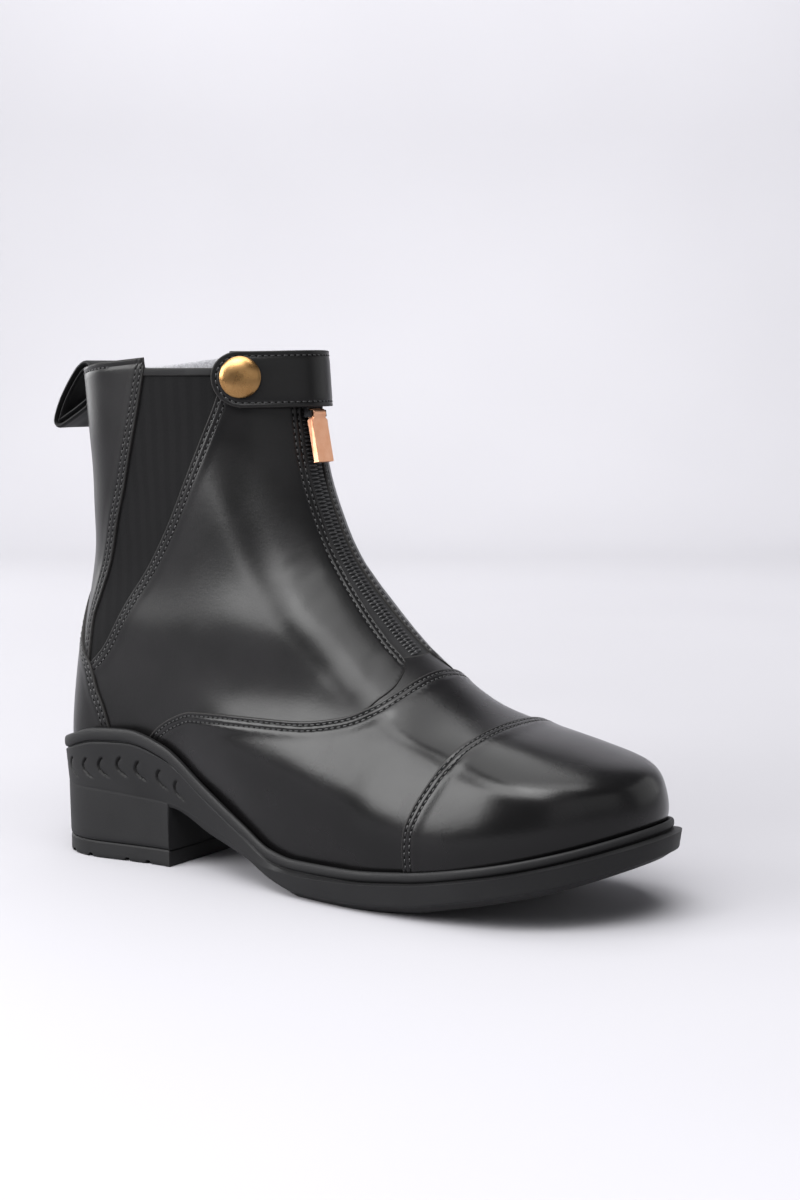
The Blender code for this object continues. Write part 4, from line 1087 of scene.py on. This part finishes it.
# %% Sole unit
def make_sole():
    turn = sole_turns()
    bead = level_where(turn, bead_height, -0.05, 0.5)
    edge = last(turn, bead)
    x = edge[:, 0]
    outward = unit(normal(turn, bead) * (1, 1, 0))

    def ring(out, height):
        made = edge + outward * np.broadcast_to(out, x.shape)[:, None]
        made[:, 2] = height
        return made

    top, low, step, foot, bead_out, groove_out, step_out, foot_out = (
        sole(name, x) for name in SOLE_COLUMNS[1:-1])
    lip = LIP + TOE_LIP * step_between(x, TOE_LIP_FROM, TOE_LIP_TO)
    seat = last(turn, 0 * turn) + normal(turn, 0 * turn) * GAP
    seat[:, 2] -= GAP
    wall = ring(WALL_OUT, WALL_HEIGHT)[:SOLE_HALF_COLUMNS]
    run = np.abs(wall[0, 1]) + run_along(wall)
    run = np.concatenate([run, run[::-1]])
    rows = [seat, ring(0.0, np.minimum(top - TUCK_LOW, seat[:, 2] + SEAT_RISE)),
            ring(0.1, top - TUCK), ring(lip, top - TUCK)]
    centre = (lip + bead_out) / 2
    for angle in np.radians(BEAD_INNER):
        rows.append(ring(centre + (centre - lip) * np.cos(angle),
                         top - BEAD_INNER_HALF + BEAD_INNER_HALF * np.sin(angle)))
    middle, half = (top + low) / 2, (top - low) / 2
    for angle in np.radians(BEAD_OUTER):
        bulge = np.abs(np.cos(angle)) ** (BEAD_SQUARE + BEAD_ROUNDER * step_between(x, 40, 95))
        rows.append(ring(centre + (bead_out - centre) * bulge, middle + half * np.sin(angle)))
    waist = step_between(x, 26, 40) * (1 - step_between(x, 78, 96))
    depth = GROOVE - GROOVE_LESS * waist
    rows.append(ring(groove_out - depth, low - 0.25))
    rows.append(ring(groove_out - depth, low - 0.6))
    ledge = np.maximum(low - 0.9, step + 0.1)
    rows.append(ring(groove_out - 0.2 * depth, ledge))
    carved = np.zeros((len(rows), len(x)))
    for share in np.linspace(0, 1, WALL_ROWS)[1:]:
        height = ledge + (step - ledge) * share
        cut = crescent_carve(run, height)
        carved = np.concatenate([carved, cut[None]])
        rows.append(ring(groove_out + (step_out - groove_out) * share - cut, height))
    heel = x < HEEL_BREAST
    end = np.where(heel, HEEL_BASE, foot)
    rows.append(ring(step_out - 0.14 * heel, step - 0.35))
    for share in np.concatenate([[0.04], np.linspace(0.08, 0.92, 12)]):
        rows.append(ring(step_out + (foot_out - step_out) * share, step + (end - step) * share))
    rows.append(ring(foot_out - 0.15, end + FOOT_ROUND * (step - end)))
    rows.append(ring(foot_out - 0.7, end))
    rows.append(ring(foot_out - TREAD_INSET, end - np.where(heel, 0, sole("tread", x))))
    rings = np.stack(rows)
    points, faces = capped(rings, across=24, relief=tread)
    carved = np.concatenate([carved.ravel(), np.zeros(len(points) - carved.size)])
    # faces cut deeper than the limit take the near-black finish: painted shade in the crescents
    marks = [carved[part].max(1) > PAINTED_SHADE_DEPTH for part in faces]
    piece("sole_rubber", points, faces, [RUBBER, PAINTED_RECESS_SHADE], marks, ["sole_unit"], sharp=38)
    return rings[-3][heel], turn[heel]


def tread(points, upward):
    """Bars across the forefoot: the gaps between them are moulded upward from the ground."""
    if upward:
        return points
    x = points[..., 0]
    bars = step_between(np.abs((x / TREAD_PITCH) % 1 - 0.5), *TREAD_SLOPE)
    ahead = step_between(x, *TREAD_START) * (1 - step_between(x, *TREAD_END))
    share = np.linspace(0, 1, points.shape[1] + 2)[1:-1]
    within = step_between(np.minimum(share, 1 - share), *TREAD_RIM)
    points[..., 2] += TREAD_DEPTH * (1 - bars) * ahead * within
    return points


heel_rim, heel_turn = make_sole()

# %% [markdown]
# The top piece is the wearing layer under the heel, a separate slab of harder rubber. A thin groove shows
# where it meets the block. It takes the block's own outline, so the two stay flush.

# %% Heel top piece
TREAD_GROOVES, GROOVE_HALF, GROOVE_SLOPE, GROOVE_RISE = (-20.0, -9.0, 9.0, 19.0), 1.2, 0.4, 1.6
TOP_PIECE_ROWS = ((6.7, 0.985), (6.35, 0.992), (6.1, 1.0), (4.0, 1.0), (2.2, 1.0), (0.9, 1.0),
                  (0.35, 0.995), (0.0, 0.975))


def groove_height(x):
    """How high the grooves across the tread reach at a place along the boot."""
    near = np.min([np.abs(x - groove) for groove in TREAD_GROOVES], axis=0)
    return GROOVE_RISE * (1 - step_between(near, GROOVE_HALF - GROOVE_SLOPE, GROOVE_HALF + GROOVE_SLOPE))


def make_top_piece():
    start = int(np.argmax(np.diff(heel_turn)))
    rim = np.roll(heel_rim, -start - 1, axis=0)
    middle = np.array([rim[:, 0].mean(), 0, 0])
    rings = []
    for height, grow in TOP_PIECE_ROWS:
        ring = middle + (rim - middle) * grow
        ring[:, 2] = np.maximum(height, groove_height(ring[:, 0]))
        rings.append(ring)

    def grooves(points, upward):
        if not upward:
            points[..., 2] = np.maximum(points[..., 2], groove_height(points[..., 0]))
        return points

    points, faces = capped(np.stack(rings), across=20, relief=grooves)
    piece("heel_top_rubber", points, faces, RUBBER, stands_for=["heel_top_piece"])


make_top_piece()

# %% [markdown]
# The snap strap is a band of doubled leather with round ends. It could be a curve with a flat section, but
# its edge should roll like the others, so it is cut with the same sheet cutter, from its distance to a
# stadium shape. It bows out over the zip's slider.

# %% Snap strap
STRAP_LOW, STRAP_HIGH, STRAP_REACH = 182.0, 203.4, 0.157
STRAP_THICK, STRAP_SEAT, STRAP_LIFT, STRAP_LIFT_SPAN = 2.4, 1.9, 3.4, 0.12
STRAP_RADIUS = (STRAP_HIGH - STRAP_LOW) / 2
STRAP_MIDDLE = (STRAP_HIGH + STRAP_LOW) / 2
STRAP_TURNS = np.linspace(0.28, 0.72, 401)
STRAP_RUN = run_along(last(STRAP_TURNS, level_where(STRAP_TURNS, STRAP_MIDDLE)))
STRAP_RUN -= np.interp(0.5, STRAP_TURNS, STRAP_RUN)
STRAP_HALF = np.interp(0.5 + STRAP_REACH, STRAP_TURNS, STRAP_RUN)
STRAP_STITCH = 1.9


def strap_seat(turn):
    """How far the strap's inner face lies above the last."""
    away = np.clip(np.abs(turn - 0.5) / STRAP_LIFT_SPAN, 0, 1)
    return STRAP_SEAT + STRAP_LIFT * np.cos(away * np.pi / 2) ** 2


def strap_edge(turn, level):
    """Distance inside the strap's outline."""
    along = np.maximum(np.abs(np.interp(turn, STRAP_TURNS, STRAP_RUN)) - STRAP_HALF + STRAP_RADIUS, 0)
    return STRAP_RADIUS - np.hypot(along, last(turn, level)[:, 2] - STRAP_MIDDLE)


panel("snap_strap_leather", (0.33, 0.67), (0.84, 1.08), [(strap_edge, "rim", 0, (STRAP_STITCH,))],
      STRAP_THICK, LEATHER, ["snap_strap"], base=lambda turn, level: strap_seat(turn), seat=0.0)

# %% [markdown]
# Thread shows as short rods that dive into the leather at both ends, and the needle leaves a hole between
# them, whose shade is painted on a flat near-black capsule. A dotted bump would be flat at the silhouette,
# so each stitch and each hole is a small capsule, and a whole row is one joined mesh. A row runs beside its
# seam: the seam's points are moved sideways and then laid back on the form.

# %% Rods along a line
PITCH, STITCH_LENGTH, STITCH_HALF, STITCH_DIVE, STITCH_LIFT = 2.5, 1.9, 0.30, 0.3, 0.12
HOLE_LENGTH, HOLE_HALF, HOLE_FLAT, HOLE_SINK = 1.1, 0.42, 0.35, 0.05


def beside(line, offset):
    """A line at a distance to the left of a seam, laid back on the form."""
    turn, level = (values.copy() for values in line)
    place = last(turn, level)
    goal = place + offset * unit(np.cross(normal(turn, level), unit(np.gradient(place, axis=0))))
    for _ in range(5):
        along, up = slopes(turn, level)
        miss = goal - last(turn, level)
        aa, bb, ab = (along * along).sum(-1), (up * up).sum(-1), (along * up).sum(-1)
        ma, mb = (along * miss).sum(-1), (up * miss).sum(-1)
        scale = aa * bb - ab * ab
        turn = turn + (ma * bb - mb * ab) / scale
        level = level + (mb * aa - ma * ab) / scale
    return turn, level


def capsule(length, half, dive, sides=6):
    """Points, faces of a rod along the first axis whose ends dip by dive."""
    rings = np.array([(-0.5, 0.25, -1.0), (-0.40, 0.8, -0.45), (-0.2, 1.0, 0.0), (0.2, 1.0, 0.0),
                      (0.40, 0.8, -0.45), (0.5, 0.25, -1.0)])
    angle = np.arange(sides) * 2 * np.pi / sides
    points = np.stack([np.stack([np.full(sides, s * length), half * r * np.cos(angle),
                                 half * r * np.sin(angle) + dive * d], -1) for s, r, d in rings])
    faces = grid_faces(len(rings), sides, True)[:, ::-1]
    ends = np.array([np.arange(sides), np.arange(sides)[::-1] + (len(rings) - 1) * sides])
    return points.reshape(-1, 3), faces, ends


def along_line(place, out, pitch, start=0.5):
    """Centres, directions and outward normals at even steps along a line of points."""
    run = run_along(place)
    count = max(int(run[-1] / pitch), 1)
    at = (np.arange(count) + start) * run[-1] / count

    def pick(values):
        return np.stack([np.interp(at, run, values[:, i]) for i in range(3)], -1)

    return pick(place), unit(pick(np.gradient(place, axis=0))), unit(pick(out))


def rods(name, runs, template, finish, crosswise=False):
    """One joined mesh of capsules: runs are centres, directions and outward normals."""
    points, faces, ends = template
    centre, ahead, out = (np.concatenate(values) for values in zip(*runs))
    side = unit(np.cross(out, ahead))
    first, second = (side, -ahead) if crosswise else (ahead, side)
    placed = (centre[:, None] + points[None, :, :1] * first[:, None]
              + points[None, :, 1:2] * second[:, None] + points[None, :, 2:] * out[:, None])
    shift = (np.arange(len(centre)) * len(points))[:, None, None]
    joined = [(part + shift).reshape(-1, part.shape[1]) for part in (faces, ends)]
    piece(name, placed.reshape(-1, 3), joined, finish)


print("a stitch every", PITCH, "mm")

# %% [markdown]
# Every seam has its rows at the distances that its panel was dented at. A row ends where another panel or
# the sole covers it, and the inner side repeats the outer one.

# %% Stitch rows
def seam_rows(line, sign, kind, rows, top):
    """Lines of points and normals on both sides of the boot for the rows beside one seam."""
    lines = []
    for row in rows:
        turn, level = beside(LINES[line], sign * row)
        height = top + float(edge_height(kind, np.array([row]), rows)[0]) + STITCH_LIFT
        place = last(turn, level)
        shown = (place[:, 2] > sole("bead_top", place[:, 0]) + 1) & (turn <= 0.5) & (turn >= 0)
        shown &= SHOWN[line](turn, level) if line in SHOWN else True
        turn, level = turn[shown], level[shown]
        for t in (turn, 1 - turn):
            lines.append((surface(t, level, np.full(len(t), height)), normal(t, level)))
    return lines


def strap_rows():
    """The ring of stitches round the strap's edge."""
    radius = STRAP_RADIUS - STRAP_STITCH
    reach_out = STRAP_HALF - STRAP_RADIUS
    angle = np.linspace(-np.pi / 2, np.pi / 2, 40)
    along = np.concatenate([reach_out + radius * np.cos(angle), -reach_out - radius * np.cos(angle)])
    height = np.concatenate([radius * np.sin(angle), radius * np.sin(angle[::-1])])
    along, height = np.append(along, along[0]), np.append(height, height[0])
    run = np.concatenate([[0], np.cumsum(np.hypot(np.diff(along), np.diff(height)))])
    fine = np.linspace(0, run[-1], 600)
    turn = np.interp(np.interp(fine, run, along), STRAP_RUN, STRAP_TURNS)
    level = level_where(turn, STRAP_MIDDLE + np.interp(fine, run, height))
    place = surface(turn, level, strap_seat(turn) + STRAP_THICK - STITCH_DENT + STITCH_LIFT)
    return [(place, normal(turn, level))]


def top_row():
    """One row along the upper edge of the back strap."""
    def row_height(place):
        return np.interp(place[..., 0], STRAP_TOP_EDGE[:, 0], STRAP_TOP_EDGE[:, 1]) - STRAP_ROW

    turn = np.linspace(-0.19, 0.19, 300)
    level = level_where(turn, row_height)
    keep = reach("gore_back", turn, level) > 2.4
    turn, level = turn[keep], level[keep]
    height = np.full(len(turn), QUARTER_TOP - STITCH_DENT + STITCH_LIFT)
    return [(surface(turn, level, height), normal(turn, level))]


def sew(name, lines):
    """The thread of some rows, and flat near-black capsules between its stitches: painted shade in the
    needle holes.
    """
    stitches = [along_line(*line, PITCH) for line in lines]
    holes = [along_line(*line, PITCH, 0.0) for line in lines]
    rods("stitches_" + name, stitches, STITCH, THREAD)
    # the holes are flat near-black capsules: painted shade in the needle holes
    rods("needle_hole_shade_" + name, holes, HOLE, PAINTED_HOLE_SHADE)


SHOWN = {
    "gore_front": lambda t, l: (last(t, l)[:, 2] < QUARTER_EDGE - 1) & (reach("counter", t, l) < -1),
    "gore_back": lambda t, l: (below_height(STRAP_TOP_EDGE)(t, l) > 1.5) & (reach("counter", t, l) < -1),
    "zip": lambda t, l: last(t, l)[:, 2] < QUARTER_EDGE - 1,
    "vamp": lambda t, l: reach("counter", t, l) < 0,
}
STITCH = capsule(STITCH_LENGTH, STITCH_HALF, STITCH_DIVE)
hole_points, hole_faces, hole_ends = capsule(HOLE_LENGTH, HOLE_HALF, 0.0, sides=5)
HOLE = (hole_points * (1, 1, HOLE_FLAT) - (0, 0, HOLE_SINK), hole_faces, hole_ends)
sew("toe_cap", seam_rows("cap", -1, "over", CAP_ROWS, CAP_TOP))
sew("vamp", seam_rows("vamp", -1, "over", VAMP_ROWS, VAMP_TOP))
sew("zip", seam_rows("zip", 1, "sewn", ZIP_ROWS, QUARTER_TOP))
sew("gore", seam_rows("gore_front", -1, "over", GORE_ROWS, QUARTER_TOP)
    + seam_rows("gore_back", 1, "over", GORE_ROWS, QUARTER_TOP) + top_row())
sew("counter", seam_rows("counter", 1, "over", COUNTER_ROWS, COUNTER_TOP))
sew("strap", strap_rows())

# %% [markdown]
# A coil zip is two nylon spirals that mesh along the middle, sewn to woven tape. The tape is one more
# panel. A curve with a screw could draw the spirals, but they only show as short rungs from both sides in
# turn, so they are made as crosswise rods.

# %% Zip
TAPE_UNDER, TAPE_TOP = 1.2, 0.6
COIL_PITCH, COIL_LENGTH, COIL_HALF, COIL_DIVE = 1.6, 4.8, 0.52, 0.45
COIL_SIDE, COIL_LIFT, COIL_FOOT, COIL_HEAD = 1.6, 0.75, 0.9, 1
COIL_FINE = 400


def tape_edge(turn, level):
    """Distance inside the tape's side edges, which lie under the quarters."""
    place = last(turn, level)
    return zip_half(place[:, 2]) + TAPE_UNDER - np.abs(place[:, 1])


def make_zip():
    panel("zip_tape", (0.44, 0.5601), (0.44, OVER_COLLAR),
          [(tape_edge, "under", 0, ()), (above_height(ZIP_FOOT), "under", 0, ()),
           (below_height(ZIP_HEAD), "rim", 0, ())],
          TAPE_TOP, WEBBING, ["zip_chain"])
    ends = level_where(np.array([0.5, 0.5]), np.array([ZIP_FOOT + COIL_FOOT, ZIP_HEAD - COIL_HEAD]))
    level = np.linspace(*ends, COIL_FINE)
    turn = np.full(COIL_FINE, 0.5)
    place = surface(turn, level, np.full(COIL_FINE, COIL_LIFT))
    centre, ahead, out = along_line(place, normal(turn, level), COIL_PITCH)
    side = unit(np.cross(out, ahead)) * COIL_SIDE
    runs = [(centre + side, ahead, out), (centre + ahead * COIL_PITCH / 2 - side, ahead, out)]
    rods("zip_coil", runs, capsule(COIL_LENGTH, COIL_HALF, COIL_DIVE), NYLON, crosswise=True)


make_zip()

# %% [markdown]
# The slider is a small casting under the strap, and little of it shows. It could be drawn again, but its
# solid has the right shape already, so its mesh is copied and gets a fine bevel, as tumbled castings have.

# %% Slider
BEVEL_STEPS, BEVEL_FROM = 3, math.radians(50)
SLIDER_BEVEL, PULL_BEVEL = 0.25, 0.3
WELD = 0.00001


def bevel(made, width):
    edge = made.modifiers.new("edge", "BEVEL")
    edge.width = width * MM
    edge.segments = BEVEL_STEPS
    edge.angle_limit = BEVEL_FROM
    return edge


def make_slider():
    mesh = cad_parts["zip_slider"].data.copy()
    mesh.name = "zip_slider_metal"
    mesh.materials.clear()
    mesh.materials.append(DARK_METAL)
    made = add_object("zip_slider_metal", mesh)
    made.modifiers.new("weld", "WELD").merge_threshold = WELD
    bevel(made, SLIDER_BEVEL).harden_normals = True
    dress(made, ["zip_slider"])
    print(made.name, "bevel", SLIDER_BEVEL, "mm")


make_slider()

# %% [markdown]
# The tab hangs from the slider's pin and swings on it. A bevelled box would do for its body, but the top has
# to be round about the pin, so it is drawn from its outline as seen from the side, with a bore for the pin.

# %% Pull tab
HINGE = np.array([81.445, -0.48, 179.823])
PULL_NECK, PULL_WIDTH, PULL_BORE, PULL_LEAN = 7.4, 9.8, 1.1, math.radians(11)
PULL_WIDENS = (1.9, 2.6)       # how far below the pin the tab widens
# the tab from the side: how far ahead of the pin and how high, from the foot of its front face up
PULL_FRONT = ((1.15, -18.9), (1.15, -14.0), (1.15, -9.0), (1.15, -5.2), (1.25, -2.6), (1.35, -1.9),
              (1.75, -0.8))
PULL_TOP = 1.9


def make_pull_tab(round_steps=18):
    """A plain bar that widens a little below the pin, with a bore through it and a fine bevel."""
    arc = np.linspace(math.radians(-12), math.radians(192), round_steps)
    outline = list(PULL_FRONT) + [(PULL_TOP * math.cos(a), PULL_TOP * math.sin(a)) for a in arc]
    outline += [(-x, z) for x, z in PULL_FRONT[::-1]]
    outline = np.array(outline)
    around = np.unwrap(np.arctan2(outline[:, 1], outline[:, 0]))
    bore = PULL_BORE * np.stack([np.cos(around), np.sin(around)], -1)
    count = len(outline)
    flat = np.concatenate([outline, bore])
    broad = PULL_NECK + (PULL_WIDTH - PULL_NECK) * step_between(-flat[:, 1], *PULL_WIDENS)
    x = flat[:, 0] * math.cos(PULL_LEAN) - flat[:, 1] * math.sin(PULL_LEAN)
    z = flat[:, 0] * math.sin(PULL_LEAN) + flat[:, 1] * math.cos(PULL_LEAN)
    points = np.concatenate([HINGE + np.stack([x, side * broad, z], -1) for side in (-0.5, 0.5)])
    i = np.arange(count)
    j = np.roll(i, -1)
    near, far = 0, 2 * count
    faces = np.concatenate([
        np.stack([near + i, near + j, near + count + j, near + count + i], -1),
        np.stack([far + j, far + i, far + count + i, far + count + j], -1),
        np.stack([near + j, near + i, far + i, far + j], -1),
        np.stack([near + count + i, near + count + j, far + count + j, far + count + i], -1)])
    made = piece("zip_pull_copper", points, faces, COPPER, stands_for=["zip_pull"],
                 body="zip_pull", sharp=35)
    bevel(made, PULL_BEVEL)


make_pull_tab()

# %% [markdown]
# The snap's cap is a shallow brass dome with a rolled rim. A scaled sphere has no rim, so the cap is turned
# from a profile, as it is pressed in a round die.

# %% Snap cap
SNAP_TURN, SNAP_HEIGHT, SNAP_SETTLE = 0.379, 193.6, 0.15
# distance from the middle and height, from the top of the dome to the foot of the post
SNAP_PROFILE = ((0.0, 3.0), (1.4, 2.97), (2.8, 2.85), (4.2, 2.63), (5.4, 2.33), (6.4, 1.96), (7.1, 1.6),
                (7.6, 1.25), (7.9, 0.95), (7.95, 0.78), (7.6, 0.62), (4.0, 0.6), (4.0, -0.1), (0.0, -0.1))


def make_snap(steps=64):
    turn = np.array([SNAP_TURN])
    level = level_where(turn, SNAP_HEIGHT)
    out = normal(turn, level)[0]
    seat = surface(turn, level, strap_seat(turn) + STRAP_THICK + SNAP_SETTLE)[0]
    side = unit(np.cross(out, (0, 0, 1)))
    up = np.cross(side, out)
    angle = np.arange(steps) * 2 * np.pi / steps
    circle = np.cos(angle)[:, None] * side - np.sin(angle)[:, None] * up
    points = np.concatenate([seat + r * circle + z * out for r, z in SNAP_PROFILE[1:-1]])
    count = len(SNAP_PROFILE) - 2
    points = np.concatenate([points, [seat + SNAP_PROFILE[0][1] * out, seat + SNAP_PROFILE[-1][1] * out]])
    around = np.arange(steps)
    after = np.roll(around, -1)
    foot = (count - 1) * steps
    top = np.stack([np.full(steps, count * steps), around, after], -1)
    bottom = np.stack([np.full(steps, count * steps + 1), after + foot, around + foot], -1)
    faces = [grid_faces(count, steps, True)[:, ::-1], top[:, ::-1], bottom[:, ::-1]]
    piece("snap_brass", points, faces, BRASS, stands_for=["snap_cap"], sharp=50)


make_snap()

# %% [markdown]
# The pull loop is a length of webbing folded double and sewn to the back. A curve with a bevel would twist
# at the fold, so a flat section with thin edges is carried along a closed path. The path runs a little
# longer than the solid's, and a second, narrower ply lies inside the first.

# %% Pull loop
LOOP_WIDTH, LOOP_THICK, LOOP_BEND = 24.0, 1.9, 30.0
PLY_INSET, PLY_THICK, PLY_NARROWER = 2.4, 1.7, 0.8
SELVEDGE, SELVEDGE_FROM, SELVEDGE_THINNER = 0.06, 0.85, 0.12
LOOP_PATH = np.array([(0.0, 185.0), (0.0, 190.5), (0.0, 196.0), (-2.6, 199.4), (-7.2, 197.8),
                      (-13.2, 191.6), (-19.0, 183.8), (-22.6, 176.6), (-22.2, 174.0), (-19.4, 173.8),
                      (-12.0, 177.3), (-3.6, 182.0)])


def closed_curve(points, fine):
    """A round trip through the points, each stretch a cubic."""
    u = (np.arange(fine) / fine)[:, None]
    weights = (-0.5 * u + u ** 2 - 0.5 * u ** 3, 1 - 2.5 * u ** 2 + 1.5 * u ** 3,
               0.5 * u + 2 * u ** 2 - 1.5 * u ** 3, -0.5 * u ** 2 + 0.5 * u ** 3)
    corners = zip(*(np.roll(points, shift, 0) for shift in (1, 0, -1, -2)))
    return np.concatenate([sum(p * w for p, w in zip(four, weights)) for four in corners])


def make_pull_loop(name, inset, thickness, width, stands_for=()):
    path = closed_curve(LOOP_PATH, 10)
    ahead = unit(np.roll(path, -1, 0) - np.roll(path, 1, 0))
    side = np.stack([-ahead[:, 1], ahead[:, 0]], -1)
    path = path + side * inset
    back = np.zeros(len(path))
    level = level_where(back, path[:, 1])
    foot = (last(back, level) + normal(back, level) * (QUARTER_TOP + GAP + LOOP_THICK))[:, 0]
    half = width / 2
    flat = np.linspace(-1, 1, 25)
    thick = 0.5 * thickness * np.minimum(1, ((1 - np.abs(flat)) / SELVEDGE) ** 0.5)
    thick = thick * (1 - SELVEDGE_THINNER * (np.abs(flat) > SELVEDGE_FROM))
    section_y = np.concatenate([flat * half, flat[::-1][1:-1] * half])
    section_n = np.concatenate([thick, -thick[::-1][1:-1]])
    points = np.stack([np.stack([foot + path[:, 0] + side[:, 0] * n + y * y / (2 * LOOP_BEND),
                                 np.full(len(path), y), path[:, 1] + side[:, 1] * n], -1)
                       for y, n in zip(section_y, section_n)], 1)
    faces = grid_faces(len(path), len(section_y), True, True)
    piece(name, points.reshape(-1, 3), faces, WEBBING, stands_for=stands_for)


make_pull_loop("pull_loop_webbing", 0.0, LOOP_THICK, LOOP_WIDTH, ["pull_loop"])
make_pull_loop("pull_loop_inner_ply", PLY_INSET, PLY_THICK, LOOP_WIDTH - PLY_NARROWER)

# %% [markdown]
# The studio has a pale paper floor that curves up into a backdrop. A plane and a wall would meet in a line,
# so the paper is one sheet with a wide bend, square to the camera. It only serves the picture.

# %% Floor
FLOOR_NEAR, FLOOR_BEND_FROM, FLOOR_BEND, FLOOR_TOP, FLOOR_HALF = -2500.0, 1300, 500.0, 2600.0, 3500.0
PAPER = make_finish("matte_paper", {"Roughness": 0.9, "IOR": 1.4, "Specular IOR Level": 0.2},
                    (("TexNoise", {"Scale": per(400), "Detail": 2.0}),), "#98979b", "#9b9a9e")


def make_floor():
    level = np.array([-math.sin(VIEW_TURN), math.cos(VIEW_TURN), 0])
    across = np.array([math.cos(VIEW_TURN), math.sin(VIEW_TURN), 0])
    profile = [(FLOOR_NEAR, 0.0), (0.0, 0.0), (900.0, 0.0)]
    for a in np.linspace(0, math.pi / 2, 16):
        profile.append((FLOOR_BEND_FROM + FLOOR_BEND * math.sin(a), FLOOR_BEND - FLOOR_BEND * math.cos(a)))
    profile.append((FLOOR_BEND_FROM + FLOOR_BEND, FLOOR_TOP))
    points = [level * d + across * w + (0, 0, z) for d, z in profile for w in (-FLOOR_HALF, FLOOR_HALF)]
    mesh = bpy.data.meshes.new("studio_floor")
    mesh.from_pydata([tuple(p * MM) for p in points], [], grid_faces(len(profile), 2)[:, ::-1].tolist())
    mesh.shade_smooth()
    mesh.materials.append(PAPER)
    floor = add_object("studio_floor", mesh)


make_floor()

# %% [markdown]
# Black leather shows almost only what it mirrors, so the lamps' places matter more than their strength.
# Point lamps would show as dots, so all are large soft panels. Two big ones stand on the left, one low and
# behind, one high. One is above and in front, a weaker one overhead and a low one behind the heel. Two dim
# white cards fill the metal and the toe, and the last lamp lights only the backdrop.

# %% Lamps and world
BOOT_MIDDLE = Vector((0.09, 0, 0.09))
# name, azimuth, elevation, distance, width and height in metres, radiance
LAMPS = (
    ("lamp_left_low", -124, 22.5, 1.5, 1.1, 0.78, 11.3), ("lamp_left_high", -79, 49, 1.5, 1.3, 0.7, 10.2),
    ("lamp_front", -40, 64, 1.6, 1.3, 0.7, 6.0), ("lamp_overhead", 150, 80, 1.8, 1.6, 1.6, 3.6),
    ("lamp_rim", 178, 9, 1.5, 1.0, 0.45, 4.2), ("white_card", 50, 13, 1.6, 1.3, 0.8, 0.85),
    ("front_card", -18, 13, 2.0, 2.2, 0.8, 0.8),
)


def toward(azimuth, elevation):
    a, e = math.radians(azimuth), math.radians(elevation)
    return Vector((math.cos(a) * math.cos(e), math.sin(a) * math.cos(e), math.sin(e)))


def make_lamp(name, azimuth, elevation, distance, width, height, radiance, faces=None):
    """A soft panel that faces the boot, or another way, as bright as a surface of this radiance."""
    data = bpy.data.lights.new(name, "AREA")
    data.shape = "RECTANGLE"
    data.size, data.size_y = width, height
    data.energy = radiance * math.pi * width * height
    made = add_object(name, data)
    away = toward(azimuth, elevation)
    made.location = BOOT_MIDDLE + away * distance
    behind = -toward(*faces) if faces else away
    made.rotation_euler = behind.to_track_quat("Z", "Y").to_euler()


def make_world():
    world = bpy.data.worlds.new("studio_dim")
    world.use_nodes = True
    background = world.node_tree.nodes["Background"]
    background.inputs["Color"].default_value = colour("#e6e8f0")
    background.inputs["Strength"].default_value = 0.2
    bpy.context.scene.world = world
    bpy.context.scene.view_settings.view_transform = "Standard"


for lamp in LAMPS:
    make_lamp(*lamp)
make_lamp("lamp_backdrop", 124, 52, 1.5, 2.6, 0.9, 5.0, faces=(124, -35))
make_world()
